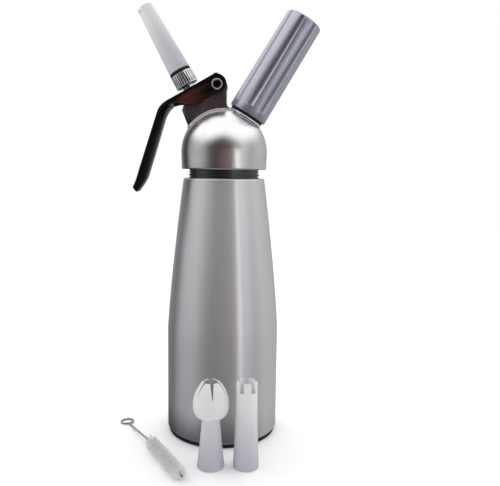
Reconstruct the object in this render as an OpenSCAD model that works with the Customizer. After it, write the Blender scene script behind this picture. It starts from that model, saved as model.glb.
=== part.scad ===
// Whipped cream dispenser, half-litre size: aluminium bottle, screwed-on domed head,
// lever valve with a decorating tip, gas bulb in its screwed holder, and the loose kit
// that stands beside it. Millimetres, +Z up, origin in the middle of the foot pad's
// underside. The valve leans to -X and the gas bulb leans to +X.

/* [Bottle] */
// Outer radius of the bottle's straight lower half
body_r = 40.1; // [38.5:0.1:42]
// Height at which the side starts to draw in
taper_z = 78; // [60:1:95]
// Outer radius just under the shoulder
shoulder_r = 28.95; // [28.5:0.05:30]
// Height of the shoulder
shoulder_z = 183.6; // [178:0.1:195]
// Fullness of the drawn-in side, as the radius of its pulling point
side_pull_r = 37.6; // [36.5:0.1:38.4]
// Thickness of the bottle's wall
bottle_wall = 2; // [1.4:0.1:2.4]
// Thickness of the bottle's floor
bottle_floor = 3; // [2:0.1:5]
// Outer radius of the neck
neck_r = 24.7; // [24:0.1:25.4]
// Length of bare neck between the shoulder and the head
neck_show = 6.1; // [5.5:0.1:9]
// Length of neck inside the head
neck_in_head = 10.5; // [9.5:0.1:13]

/* [Foot pad] */
// Thickness of the rubber pad under the bottle
pad_t = 2.8; // [1.5:0.1:5]
// Distance from the bottle's side to the pad's edge
pad_inset = 1.2; // [0.6:0.1:3]

/* [Threads] */
// Turns of the ridge on the neck and in the head
neck_turns = 1.5; // [1:0.25:1.5]
// Pitch of the head's thread
neck_pitch = 4; // [3.6:0.1:4.4]
// Pitch of the gas bulb holder's thread
holder_pitch = 3; // [2.8:0.1:3.2]
// Turns of the ridge on the gas port and in the holder
holder_turns = 2.5; // [1:0.25:3]

/* [Head] */
// Outer radius of the dome
dome_r = 30.4; // [29.8:0.1:32]
// Outer radius at the lower edge of the dome's skirt
skirt_r = 30.05; // [29.5:0.05:30.4]
// Height of the skirt below the dome's centre
skirt_h = 12; // [11:0.1:14]
// Thickness of the dome over the cavity
dome_wall = 5.9; // [5:0.1:7]
// Gap between the neck and the skirt's bore
skirt_gap = 1.9; // [1.8:0.05:2]
// Thickness of the head gasket
gasket_t = 2.4; // [1.6:0.1:3]
// Height of the raised saddle that carries the bracket
saddle_t = 1.2; // [0.6:0.1:2]

/* [Valve] */
// Lean of the valve from upright
valve_tilt = 29.5; // [28:0.5:31]
// Radius of the valve stem
stem_r = 3.9; // [3.6:0.05:4]
// Radius of the stem's bore
stem_bore_r = 2.4; // [1.8:0.1:2.6]
// Distance from the dome's centre to the top of the stem's flange
flange_a = 46.2; // [46:0.1:46.6]
// Radius of the stem's flange
flange_r = 6.2; // [5.6:0.1:6.3]
// Thickness of the stem's flange
flange_t = 1.8; // [1.2:0.1:2.2]
// Outer radius of the threaded sleeve
sleeve_r = 5.6; // [5.2:0.1:5.7]
// Thickness of the sleeve's nut
nut_t = 2; // [1.5:0.1:2.5]
// Diameter of the spring's wire
spring_wire = 1; // [0.7:0.1:1.1]
// Turns of the spring
spring_turns = 3.5; // [2.5:0.5:3.5]

/* [Bracket and lever] */
// Width of the bracket that carries the lever
bracket_w = 17; // [16.6:0.1:18]
// Distance of the pin from the valve's axis
pin_u = 18.5; // [18:0.1:19]
// Distance of the pin from the dome's centre, along the valve's axis
pin_a = 42.6; // [42.2:0.1:43]
// Radius of the lever's pin
pin_r = 2.6; // [2:0.1:3]
// Radius of the pin's head
pin_head_r = 3.85; // [3.5:0.05:5]
// Distance from the dome's centre to the top of the lever's plate
lever_top_a = 49.9; // [49.6:0.1:50.3]
// Thickness of the lever's plate
lever_plate_t = 2; // [1.6:0.1:2.2]
// Thickness of the lever's cheeks
cheek_t = 1.8; // [1.2:0.1:3]
// Thickness of the lever's arm where it leaves the plate
arm_root_t = 4.2; // [3.6:0.1:5]
// Thickness of the lever's arm below its bend
arm_t = 5.9; // [4.5:0.1:6.5]
// Thickness of the lever's arm near its tip
arm_tip_t = 4.9; // [4:0.1:5.5]
// Angle between the lever's plate and its arm
arm_angle = 42.6; // [36:0.2:48]
// Length of the straight arm, measured on its outer side
arm_len = 52.5; // [36:0.5:56]
// Width of the arm near its tip
arm_w = 15; // [10:0.5:18]

/* [Collar and decorating tip] */
// Radius over the collar's ribs
collar_r = 7.95; // [7:0.05:9]
// Height of the ribbed collar
collar_h = 9.5; // [7:0.1:12]
// Number of ribs round the collar
collar_ribs = 28; // [18:1:36]
// Distance from the dome's centre to the underside of the collar
collar_a = 53.1; // [52.8:0.1:54]
// Radius of the threaded spigot that the tip screws on
spigot_r = 5.2; // [4.8:0.1:5.4]
// Thickness of the black sealing ring under the tip
tip_seal_t = 1.6; // [1:0.1:2.5]
// Length of the decorating tip
tip_len = 49.7; // [40:0.1:60]
// Outer radius of the tip at its base
tip_base_r = 7.6; // [7.3:0.05:8.5]
// Outer radius of the tip at its mouth
tip_mouth_r = 5.5; // [5.3:0.05:6.5]
// Radius of the tip's outlet
tip_outlet_r = 4; // [2.5:0.1:4.2]

/* [Gas port and gas bulb] */
// Lean of the gas bulb from upright
charger_tilt = 31; // [30:0.5:33]
// Radius of the boss on the dome
boss_r = 12.5; // [12.2:0.1:13.5]
// Distance from the dome's centre to the boss's face
boss_b = 29.5; // [29.2:0.1:30]
// Radius of the threaded port under its ridge
port_r = 9.8; // [9.6:0.05:9.9]
// Distance from the boss's face to the port's end
port_len = 12.5; // [11:0.1:13]
// Thickness of the black ring between boss and holder
port_ring_t = 1.2; // [0.8:0.1:1.4]
// Radius of the gas bulb's body
bulb_r = 9.2; // [8.8:0.05:9.3]
// Length of the gas bulb
bulb_len = 65.5; // [62:0.1:68]
// Radius of the gas bulb's neck
bulb_neck_r = 4.3; // [3.8:0.1:4.6]

/* [Gas bulb holder] */
// Outer radius of the holder at its mouth
holder_r = 13.8; // [13.5:0.05:15]
// Outer radius of the holder at its closed end
holder_end_r = 13.1; // [12.8:0.05:14]
// Thickness of the holder's closed end
holder_end_t = 3; // [2:0.1:5]
// Number of flutes round the holder
flutes = 8; // [6:1:10]
// Depth of a flute at the holder's mouth end
flute_depth = 1.1; // [0.6:0.1:1.3]
// Radius of the cutter that makes a flute
flute_r = 6; // [4:0.1:7]
// Plain length between the holder's mouth and the flutes
flute_start = 6; // [5:0.5:20]
// Turn of the first flute round the holder
flute_turn = -7.5; // [-22.5:0.5:22.5]

/* [Tulip tip] */
// Place of the tulip tip on the table, from the bottle's axis
tulip_pos = [-4.3, -63.7];
// Radius of the tulip tip's foot
tulip_foot_r = 8.8; // [8.2:0.1:9.2]
// Radius of the tulip tip's waist
tulip_waist_r = 5.9; // [5.6:0.1:6.6]
// Height of the waist
tulip_waist_z = 32.5; // [28:0.5:36]
// Largest radius of the tulip tip's head
tulip_head_r = 11.6; // [10.5:0.1:12]
// Outer radius of the tulip tip at its mouth
tulip_mouth_r = 5.8; // [4.5:0.1:7]
// Height of the tulip tip
tulip_h = 56.8; // [54:0.1:62]
// Width of a slit between two petals at the tulip tip's mouth
petal_gap = 2.2; // [1:0.1:2.6]
// Number of petals
petals = 6; // [4:1:8]

/* [Star tip] */
// Place of the star tip on the table, from the bottle's axis
star_pos = [18.6, -63.1];
// Radius of the star tip's foot
star_foot_r = 8.4; // [8:0.1:9]
// Radius of the star tip at its mouth
star_mouth_r = 6.7; // [6.5:0.1:7.5]
// Height of the star tip
star_h = 57.2; // [54:0.1:64]
// Depth of the notches in the star tip's mouth
star_notch = 6.7; // [2:0.1:9]
// Width of the notches in the star tip's mouth
star_gap = 3.5; // [1.5:0.1:3.8]
// Number of teeth round the mouth
star_teeth = 5; // [4:1:6]

/* [Both loose tips] */
// Thickness of the tips' walls
tip_wall = 1.4; // [1:0.1:1.5]
// Depth of the socket that takes the spigot
socket_len = 8.5; // [7:0.1:9]

/* [Cleaning brush] */
// Middle of the brush's loop on the table
loop_pos = [-71.9, 3.1];
// Heading of the brush, from +X
brush_heading = -60; // [-66:1:-56]
// Outer radius of the loop
loop_r = 5.1; // [4.2:0.1:7]
// Radius of the brush's wire
wire_r = 0.75; // [0.5:0.05:1]
// Length of bare wire between loop and bristles
stem_len = 44; // [30:1:60]
// Length of the bristled part
bristle_len = 52; // [40:1:60]
// Radius over the bristles
bristle_r = 5.2; // [4:0.1:7]
// Rows of bristles along the wire
bristle_rows = 48; // [40:1:52]
// Bristles in each row
bristles_row = 8; // [7:1:9]

/* [Fits] */
// Gap between pieces that move on each other
gap = 0.3; // [0.25:0.01:0.35]
// Radial clearance of a running fit
fit = 0.05; // [0.02:0.01:0.08]

/* [Hidden] */

$fn = 96;
eps = 0.01;
far = 200;

// Bottle heights, from the pad up
rim_round = 1.6;
neck_z = shoulder_z + 1.8;
skirt_z = neck_z + neck_show;
neck_top = skirt_z + neck_in_head;
neck_bore_r = neck_r - 2.5;
bead_r = neck_r + 0.45;

// Head
dome_z = skirt_z + skirt_h;
skirt_bore_r = neck_r + skirt_gap;
gasket_z = neck_top + gap;
gasket_seat_z = gasket_z + gasket_t + gap;
cavity_r = dome_r - dome_wall;

// Threads: the ridge is a trapezoid, wider at its root than at its crest
neck_ridge = 1.4;
neck_root_w = neck_pitch / 2;
neck_crest_w = neck_pitch * 0.3;
neck_thread_z = skirt_z + 2;
port_ridge = 0.75;
port_root_w = holder_pitch * 0.46;
port_crest_w = holder_pitch * 0.27;
thread_bite = 0.4;

// Valve, measured along its own axis from the dome's centre
saddle_r = dome_r + saddle_t;
bracket_floor_a = saddle_r + 3.3;
sleeve_top_a = bracket_floor_a + nut_t + 0.2;
sleeve_guide_a = sleeve_top_a - 7;
sleeve_flange_r = 9;
sleeve_flange_a = cavity_r - 4;
sleeve_flow_r = stem_r + 0.9;
valve_seal_r = 7;
valve_seal_t = 2.6;
valve_seal_a = sleeve_flange_a - gap - valve_seal_t;
seal_nut_t = 2.2;
stem_foot_a = valve_seal_a - seal_nut_t - 0.6;
stem_top_a = collar_a + collar_h - 2.5;
flange_under_a = flange_a - flange_t;
spring_a = bracket_floor_a + nut_t + gap;
spring_h = flange_under_a - gap - spring_a;
spring_r = stem_r + gap + 0.4 + spring_wire / 2;
nut_r = sleeve_r + 1.3;

// Bracket and lever
ear_gap = flange_r + 0.4;
bracket_left_top_u = -11.5;
bracket_left_foot_u = -13.1;
bracket_top_a = 40.5;
bracket_corner_r = 5;
ear_r = pin_r + 2.9;
world_side_x = 1.3;
toe_w = 4.4;
cheek_in = bracket_w / 2 + 0.4;
cheek_out = cheek_in + cheek_t;
cheek_end_r = lever_top_a - pin_a - 0.3;
cheek_foot_a = 37.5;
cheek_front = [[2, 37.7], [-2.1, 38.7], [-7.5, 42.4]];
plate_under_a = lever_top_a - lever_plate_t;
bend_u = -24.1;
bend_r = 14;
arm_solid_u = -15;
tip_kick_r = 14;
nose_r = 2;
slot_half = stem_r + 1;
clip_t = 0.9;

// Gas port and holder, measured along the gas bulb's axis from the dome's centre
port_end_b = boss_b + port_len;
port_foot_b = cavity_r - 1;
port_root_r = 8.5;
holder_b = boss_b + port_ring_t + 2 * gap;
port_recess_b = port_end_b - 5.5;
charger_seal_t = 1.6;
bulb_b = port_recess_b + charger_seal_t + gap;
bulb_end_b = bulb_b + bulb_len;
bulb_bore_r = bulb_r + gap;
holder_thread_r = port_r + 1.1;
holder_thread_end_b = port_end_b + gap;
holder_end_b = bulb_end_b + gap + holder_end_t;
needle_r = 1.1;
needle_hole_r = 1.6;

// Tip seat, measured along the valve's axis
spigot_a = collar_a + collar_h;
spigot_len = socket_len + tip_seal_t + gap - 0.9;
tip_seal_a = spigot_a + gap;
tip_a = tip_seal_a + tip_seal_t + gap;
socket_r = spigot_r + gap;

// Brush: its bristles rest on the table
brush_z = bristle_r - 0.3;
core_r = wire_r + 0.35;
bristle_half = 0.19;
row_turn = 17;

// A point on a circle
function on_circle(r, angle) = [r * cos(angle), r * sin(angle)];
// A point on a curve that leaves p0 towards p1 and reaches p2 from it
function pulled(p0, p1, p2, t) = (1 - t) * (1 - t) * p0 + 2 * t * (1 - t) * p1 + t * t * p2;
// An arc of points round a centre
function arc(centre, r, from, to, steps) =
    [for (i = [0:steps]) centre + on_circle(r, from + (to - from) * i / steps)];
// A repeatable scatter between 0 and 1
function scatter(i) = abs(sin(i * 78.233) * 43.7585) % 1;

// The valve's own frame: its axis is +Z, and +X points to the lever's pin
module valve_frame() {
    translate([0, 0, dome_z]) rotate([0, -valve_tilt, 0]) children();
}

// The gas bulb's own frame: its axis is +Z
module charger_frame() {
    translate([0, 0, dome_z]) rotate([0, charger_tilt, 0]) children();
}

// A round tube standing on its own frame
module tube(r_out, r_in, z0, z1) {
    translate([0, 0, z0]) difference() {
        cylinder(h = z1 - z0, r = r_out);
        translate([0, 0, -1]) cylinder(h = z1 - z0 + 2, r = r_in);
    }
}

// One ring of a screw ridge's section, from its inner edge to its outer edge
function ridge_ring(angle, z, r_in, r_out, w_in, w_out) = [
    [r_in * cos(angle), r_in * sin(angle), z - w_in / 2],
    [r_out * cos(angle), r_out * sin(angle), z - w_out / 2],
    [r_out * cos(angle), r_out * sin(angle), z + w_out / 2],
    [r_in * cos(angle), r_in * sin(angle), z + w_in / 2]];

// A right-handed screw ridge; w_in and w_out are its widths at r_in and r_out
module screw_ridge(r_in, r_out, w_in, w_out, pitch, turns, start = 0) {
    per_turn = 36;
    n = ceil(turns * per_turn);
    rings = [for (i = [0:n])
        each ridge_ring(start + i * 360 / per_turn, i * pitch / per_turn, r_in, r_out, w_in, w_out)];
    sides = [for (i = [0:n - 1], k = [0:3]) let (a = 4 * i + k, b = 4 * i + (k + 1) % 4)
        each [[a, b, a + 4], [b, b + 4, a + 4]]];
    ends = [[0, 2, 1], [0, 3, 2], [4 * n, 4 * n + 1, 4 * n + 2], [4 * n, 4 * n + 2, 4 * n + 3]];
    polyhedron(rings, concat(sides, ends), convexity = 10);
}

// ---- Bottle ----

module bottle() {
    side = [for (i = [0:16])
        pulled([body_r, taper_z], [side_pull_r, taper_z + (shoulder_z - taper_z) * 0.38],
               [shoulder_r, shoulder_z], i / 16)];
    outer = concat(
        [[0, pad_t], [body_r - rim_round, pad_t]],
        arc([body_r - rim_round, pad_t + rim_round], rim_round, -75, 0, 4),
        side,
        arc([shoulder_r - 1.4, shoulder_z + 0.2], 1.4, 10, 90, 5),
        [[neck_r + 0.6, neck_z], [neck_r, neck_z + 0.5]],
        // the bead between two fine grooves
        [[neck_r, neck_z + 1], [neck_r - 0.5, neck_z + 1.05], [neck_r - 0.5, neck_z + 1.5],
         [bead_r, neck_z + 1.6], [bead_r, neck_z + 2.5],
         [neck_r - 0.5, neck_z + 2.6], [neck_r - 0.5, neck_z + 3.1], [neck_r, neck_z + 3.2]],
        [[neck_r, neck_top - 0.6], [neck_r - 0.6, neck_top]]);
    inner = concat(
        [[neck_bore_r + 0.5, neck_top], [neck_bore_r, neck_top - 0.5], [neck_bore_r, neck_z - 1]],
        [for (i = [16:-1:0]) side[i] - [bottle_wall, i == 16 ? bottle_wall : 0]],
        arc([body_r - bottle_wall - 6, pad_t + bottle_floor + 6], 6, 0, -90, 6),
        [[0, pad_t + bottle_floor]]);
    color("silver") union() {
        rotate_extrude() polygon(concat(outer, inner));
        translate([0, 0, neck_thread_z])
            screw_ridge(neck_r - thread_bite, neck_r + neck_ridge, neck_root_w, neck_crest_w,
                        neck_pitch, neck_turns);
    }
}

module foot_pad() {
    r = body_r - pad_inset;
    color("black") rotate_extrude()
        polygon([[0, 0], [r - 0.6, 0], [r, 0.6], [r, pad_t], [0, pad_t]]);
}

// ---- Head ----

module head_gasket() {
    color("dimgray") tube(skirt_bore_r - 0.4, neck_bore_r + 0.2, gasket_z, gasket_z + gasket_t);
}

// The raised saddle follows the bracket's footprint
module saddle() {
    intersection() {
        translate([0, 0, dome_z]) sphere(r = saddle_r);
        bracket_prism(1.3);
    }
}

module head_dome() {
    color("gainsboro") union() {
        difference() {
            union() {
                rotate_extrude() polygon(concat(
                    [[0, skirt_z], [skirt_r - 0.4, skirt_z], [skirt_r, skirt_z + 0.4]],
                    arc([0, dome_z], dome_r, 0, 90, 24)));
                saddle();
                charger_frame() translate([0, 0, cavity_r - 2])
                    cylinder(h = boss_b - cavity_r + 2, r = boss_r);
            }
            // the bore for the neck, the gasket's seat and the cavity above it
            rotate_extrude() polygon(concat(
                [[0, skirt_z - 1], [skirt_bore_r, skirt_z - 1], [skirt_bore_r, gasket_seat_z]],
                arc([0, dome_z], cavity_r, asin((gasket_seat_z - dome_z) / cavity_r), 90, 20)));
            valve_frame() cylinder(h = far, r = sleeve_r + fit);
            charger_frame() cylinder(h = far, r = port_root_r + fit);
            // the boss's face is cut flat through the saddle's foot
            charger_frame() translate([0, 0, boss_b]) cylinder(h = far, r = boss_r);
        }
        translate([0, 0, neck_thread_z + neck_pitch / 2])
            screw_ridge(neck_r + skirt_gap - neck_ridge, skirt_bore_r + thread_bite,
                        neck_crest_w, neck_root_w, neck_pitch, neck_turns);
    }
}

// ---- Bracket and lever ----

// Plan of the bracket in the valve's frame, with its left corners rounded
module bracket_plan(grow) {
    half = bracket_w / 2 + grow;
    left = bracket_left_foot_u - grow;
    round_r = bracket_corner_r + grow;
    polygon(concat(
        [[40, -half]],
        [[40, half]],
        arc([left + round_r, half - round_r], round_r, 90, 180, 10),
        arc([left + round_r, -half + round_r], round_r, 180, 270, 10)));
}

// The bracket's plan stood up along the valve's axis; its right side is upright in the
// dispenser's frame, and its foot flares out towards the gas port
module bracket_prism(grow) {
    side_x = world_side_x + grow;
    toe_z = dome_z + saddle_r + grow;
    intersection() {
        valve_frame() linear_extrude(height = 60) bracket_plan(grow);
        rotate([90, 0, 0]) linear_extrude(height = far, center = true) polygon([
            [-far, dome_z], [side_x + toe_w, dome_z], [side_x + toe_w, toe_z - 2.4],
            [side_x + toe_w / 2, toe_z - 0.6], [side_x + toe_w / 8, toe_z + 2.4], [side_x, toe_z + 4],
            [side_x, far * 2], [-far, far * 2]]);
    }
}

module lever_bracket() {
    ear_reach = ear_r * 0.86;
    color([0.27, 0.24, 0.26]) difference() {
        intersection() {
            bracket_prism(0);
            // side view: the left edge leans in, its top corner is cut, the ears stand at the pin
            valve_frame() rotate([90, 0, 0]) linear_extrude(height = bracket_w + 2, center = true)
                polygon(concat(
                    [[bracket_left_foot_u, 20], [bracket_left_foot_u, 29],
                     [bracket_left_top_u, bracket_top_a - 1.1], [bracket_left_top_u + 3, bracket_top_a + 1.2],
                     [pin_u - ear_reach - 3, bracket_top_a + 1.2]],
                    arc([pin_u, pin_a], ear_r, 150, 0, 12),
                    [[pin_u + 30, pin_a - 10], [pin_u + 30, 20]]));
        }
        translate([0, 0, dome_z]) rotate([90, 0, 0]) sphere(r = saddle_r);
        valve_frame() {
            cylinder(h = far, r = sleeve_r + fit);
            translate([0, 0, bracket_floor_a]) cylinder(h = far, r = nut_r + fit);
            // the space between the ears
            translate([-4, -ear_gap, bracket_floor_a + nut_t])
                cube([60, 2 * ear_gap, far]);
            translate([-30, -ear_gap, bracket_top_a]) cube([60, 2 * ear_gap, far]);
            translate([pin_u, 0, pin_a]) rotate([90, 0, 0])
                cylinder(h = bracket_w + 2, r = pin_r + fit, center = true);
        }
    }
}

module lever_pin() {
    reach = cheek_out + gap;
    color("silver") valve_frame() translate([pin_u, 0, pin_a]) rotate([90, 0, 0]) difference() {
        union() {
            translate([0, 0, -reach - clip_t - 0.6]) cylinder(h = 2 * reach + clip_t + 0.6, r = pin_r);
            translate([0, 0, reach]) cylinder(h = 1, r = pin_head_r);
        }
        translate([0, 0, reach - 2]) cylinder(h = 4, r = pin_r * 0.62);
        // groove for the clip
        translate([0, 0, -reach - clip_t]) difference() {
            cylinder(h = clip_t, r = pin_r + 1);
            translate([0, 0, -1]) cylinder(h = clip_t + 2, r = pin_r - 0.6);
        }
    }
}

module pin_clip() {
    reach = cheek_out + gap;
    color("gray") valve_frame() translate([pin_u, 0, pin_a]) rotate([90, 0, 0])
        translate([0, 0, -reach - clip_t + 0.05]) difference() {
            cylinder(h = clip_t - 0.1, r = pin_r + 1.8);
            translate([0, 0, -1]) cylinder(h = clip_t + 2, r = pin_r - 0.6 + fit);
            translate([0, -(pin_r - 1), -1]) cube([10, 2 * (pin_r - 1), clip_t + 2]);
        }
}

// Side view of the lever's arm: plate end, bend, straight arm and flared tip
function arm_outline() =
    let (heading = 180 + arm_angle,
         along = on_circle(1, heading),
         inward = on_circle(1, heading + 90),
         bend_back = bend_r * tan(arm_angle / 2),
         corner = [bend_u, lever_top_a],
         bend_c = [bend_u + bend_back, lever_top_a - bend_r],
         arm_end = corner + along * arm_len,
         under_a = lever_top_a - arm_root_t,
         under_r = 9)
    concat(
        [[arm_solid_u, lever_top_a]],
        arc(bend_c, bend_r, 90, 90 + arm_angle, 8),
        // the tip kicks outwards and is cut off aslant
        arc(arm_end - inward * tip_kick_r, tip_kick_r, heading + 90, heading + 68, 4),
        [arm_end + along * 9.2 + inward * (arm_tip_t - 2),
         arm_end + along * 5 + inward * arm_tip_t,
         arm_end + inward * (arm_tip_t + 0.5)],
        [corner + along * 13 + inward * arm_t],
        arc([bend_u + bend_back, under_a - under_r], under_r, 90 + arm_angle, 90, 6),
        [[arm_solid_u, under_a]]);

module lever() {
    cheek_side = concat(
        [[arm_solid_u - 3, lever_top_a]],
        [[pin_u + 1, lever_top_a]],
        arc([pin_u, pin_a], cheek_end_r, 75, -40, 12),
        [[pin_u + 2, cheek_foot_a]], cheek_front, [[arm_solid_u - 3, lever_top_a - arm_root_t]]);
    color([0.1, 0.08, 0.08]) valve_frame() difference() {
        union() {
            // plate and cheeks
            intersection() {
                rotate([90, 0, 0]) linear_extrude(height = 2 * cheek_out, center = true) polygon(cheek_side);
                difference() {
                    translate([arm_solid_u - 3, -cheek_out, 0]) cube([60, 2 * cheek_out, 80]);
                    translate([arm_solid_u, -cheek_in, 0]) cube([60, 2 * cheek_in, plate_under_a]);
                }
            }
            // solid arm, narrowing to its tip
            intersection() {
                rotate([90, 0, 0]) linear_extrude(height = 2 * cheek_out, center = true)
                    polygon(arm_outline());
                linear_extrude(height = 80) polygon([
                    [arm_solid_u + 1, -cheek_out], [arm_solid_u + 1, cheek_out], [arm_solid_u - 3, cheek_out],
                    [bend_u - 6, arm_w / 2 + 0.8], [bend_u - 60, arm_w / 2],
                    [bend_u - 60, -arm_w / 2], [bend_u - 6, -arm_w / 2 - 0.8],
                    [arm_solid_u - 3, -cheek_out]]);
            }
            // two noses press the stem's flange
            for (side = [-1, 1])
                translate([0, side * (slot_half + flange_r) / 2, flange_a + gap + nose_r]) rotate([90, 0, 0])
                    cylinder(h = flange_r - slot_half, r = nose_r, center = true);
        }
        // slot for the stem
        translate([0, 0, plate_under_a - 6]) {
            translate([1.5, 0, 0]) cylinder(h = 20, r = slot_half);
            translate([-1.5, 0, 0]) cylinder(h = 20, r = slot_half);
            translate([-1.5, -slot_half, 0]) cube([3, 2 * slot_half, 20]);
        }
        // the plate ends ahead of the ears
        translate([pin_u - ear_r - 1.2, -cheek_in, 0]) cube([60, 2 * cheek_in, 80]);
        translate([pin_u, 0, pin_a]) rotate([90, 0, 0])
            cylinder(h = 2 * cheek_out + 2, r = pin_r + fit, center = true);
    }
}

// ---- Valve ----

module valve_sleeve() {
    color("silver") valve_frame() difference() {
        union() {
            translate([0, 0, sleeve_flange_a]) cylinder(h = sleeve_top_a - sleeve_flange_a, r = sleeve_r);
            intersection() {
                translate([0, 0, sleeve_flange_a]) cylinder(h = 10, r = sleeve_flange_r);
                sphere(r = cavity_r - fit);
            }
        }
        cylinder(h = far, r = stem_r + fit);
        translate([0, 0, sleeve_flange_a - 1])
            cylinder(h = sleeve_guide_a - sleeve_flange_a + 1, r = sleeve_flow_r);
        translate([0, 0, sleeve_guide_a + 2.5]) cylinder(h = 2, r = stem_r + 1.05);
    }
}

module sleeve_nut() {
    color("silver") valve_frame() difference() {
        tube(nut_r, sleeve_r + fit, bracket_floor_a, bracket_floor_a + nut_t);
        for (turn = [0, 90]) rotate([0, 0, turn])
            translate([-nut_r - 1, -0.8, bracket_floor_a + nut_t / 2]) cube([2 * nut_r + 2, 1.6, nut_t]);
    }
}

module stem_seal_ring() {
    color("black") valve_frame() tube(stem_r + 1, stem_r + fit, sleeve_guide_a + 2.6, sleeve_guide_a + 4.4);
}

// The spring's coil as one tube; rings of six points follow its helix
module valve_spring() {
    per_turn = 16;
    n = spring_turns * per_turn;
    w = spring_wire / 2;
    rise = (spring_h - spring_wire) / n;
    rings = [for (i = [0:n], k = [0:5]) let (a = i * 360 / per_turn, t = k * 60, r = spring_r + w * cos(t))
        [r * cos(a), r * sin(a), spring_a + w + i * rise + w * sin(t)]];
    sides = [for (i = [0:n - 1], k = [0:5]) let (a = 6 * i + k, b = 6 * i + (k + 1) % 6)
        each [[a, a + 6, b], [b, a + 6, b + 6]]];
    ends = concat([for (k = [1:4]) [0, k, k + 1]], [for (k = [1:4]) [6 * n, 6 * n + k + 1, 6 * n + k]]);
    echo(spring_gap = rise * per_turn - spring_wire);
    color("silver") valve_frame() polyhedron(rings, concat(sides, ends), convexity = 10);
}

module valve_stem() {
    color("silver") valve_frame() difference() {
        union() {
            translate([0, 0, stem_foot_a]) cylinder(h = stem_top_a - stem_foot_a, r = stem_r);
            translate([0, 0, flange_under_a]) cylinder(h = flange_t, r = flange_r);
        }
        // the cream's way: in at two cross holes above the seal, then up the bore
        translate([0, 0, sleeve_flange_a]) cylinder(h = far, r = stem_bore_r);
        translate([0, 0, sleeve_flange_a + 3]) for (turn = [0, 90]) rotate([90, 0, turn])
            cylinder(h = 3 * stem_r, r = 1.2, center = true);
    }
}

module valve_seal() {
    color("black") valve_frame() tube(valve_seal_r, stem_r + fit, valve_seal_a, valve_seal_a + valve_seal_t);
}

module seal_nut() {
    color("silver") valve_frame() translate([0, 0, valve_seal_a - seal_nut_t]) difference() {
        cylinder(h = seal_nut_t, r = stem_r + 2.4, $fn = 6);
        translate([0, 0, -1]) cylinder(h = seal_nut_t + 2, r = stem_r + fit);
    }
}

// ---- Collar and decorating tip ----

module tip_adapter() {
    rib = [for (i = [0:collar_ribs - 1], k = [0:3])
        on_circle(k < 2 ? collar_r - 0.65 : collar_r, (i + [0, 0.42, 0.52, 0.9][k]) * 360 / collar_ribs)];
    color("silver") valve_frame() difference() {
        union() {
            translate([0, 0, collar_a + 0.8]) linear_extrude(height = collar_h - 1.6) polygon(rib);
            translate([0, 0, collar_a]) cylinder(h = collar_h, r = collar_r - 0.7);
            translate([0, 0, spigot_a - eps]) cylinder(h = spigot_len + eps, r = spigot_r);
        }
        translate([0, 0, collar_a - 1]) cylinder(h = stem_top_a - collar_a + 1, r = stem_r + fit);
        cylinder(h = far, r = stem_bore_r);
    }
}

module tip_seal() {
    color("black") valve_frame() tube(tip_base_r + 0.15, spigot_r + gap, tip_seal_a, tip_seal_a + tip_seal_t);
}

module tip_nozzle() {
    mouth = [tip_mouth_r, tip_len];
    edge = 1.3;
    color("white") valve_frame() translate([0, 0, tip_a]) difference() {
        rotate_extrude() polygon(concat(
            [[socket_r, 0], [tip_base_r - 0.3, 0], [tip_base_r, 0.3], [tip_base_r - 0.2, 6]],
            arc([tip_mouth_r - edge, tip_len - edge], edge, 5, 85, 5),
            [[tip_outlet_r, tip_len], [tip_outlet_r, tip_len - 8], [tip_outlet_r + 0.6, tip_len - 12],
             [socket_r - 0.2, socket_len + 3], [socket_r, socket_len]]));
        // the notch in the mouth's rim
        rotate([0, 0, 215]) translate([0, -1.7, tip_len - 2.4]) {
            cube([far, 3.4, far]);
            translate([0, 1.7, 0]) rotate([0, 90, 0]) cylinder(h = far, r = 1.7);
        }
    }
}

// ---- Gas port and gas bulb ----

module charger_port() {
    color("silver") charger_frame() union() {
        difference() {
            union() {
                translate([0, 0, port_foot_b]) cylinder(h = boss_b - port_foot_b, r = port_root_r);
                translate([0, 0, boss_b]) cylinder(h = port_len, r = port_r);
            }
            translate([0, 0, port_recess_b]) cylinder(h = far, r = bulb_neck_r + 0.6);
            cylinder(h = far, r = needle_r + 0.5);
            translate([0, 0, boss_b]) cylinder(h = port_recess_b - boss_b - 2, r = needle_r + 1.6);
        }
        translate([0, 0, boss_b + port_ring_t + 2.6])
            screw_ridge(port_r - thread_bite, port_r + port_ridge, port_root_w, port_crest_w,
                        holder_pitch, holder_turns);
    }
}

module port_ring() {
    color("black") charger_frame() tube(boss_r - 0.2, port_r + 0.15, boss_b, boss_b + port_ring_t);
}

module charger_seal() {
    color("black") charger_frame()
        tube(bulb_neck_r + 0.5, needle_hole_r + 0.4, port_recess_b, port_recess_b + charger_seal_t);
}

// The hollow needle: its collar is gripped in the port
module piercing_pin() {
    color("silver") charger_frame() difference() {
        union() {
            translate([0, 0, boss_b + 1]) cylinder(h = 2, r = needle_r + 1.55);
            translate([0, 0, boss_b + 1]) cylinder(h = bulb_b - boss_b - 0.2, r = needle_r);
            translate([0, 0, bulb_b + 0.8]) cylinder(h = 1.8, r1 = needle_r, r2 = 0.35);
        }
        translate([0, 0, boss_b]) cylinder(h = bulb_b - boss_b, r = 0.5);
    }
}

// The rubber flap that lets gas in and nothing back out
module check_valve() {
    color("black") charger_frame() translate([0, 0, port_foot_b]) mirror([0, 0, 1]) difference() {
        rotate_extrude() polygon([[0, 0], [4.6, 0], [4.6, 1.2], [2.4, 3.4], [0, 3.4]]);
        translate([0, 0, -1]) cylinder(h = 3.2, r = 1.4);
    }
}

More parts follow.
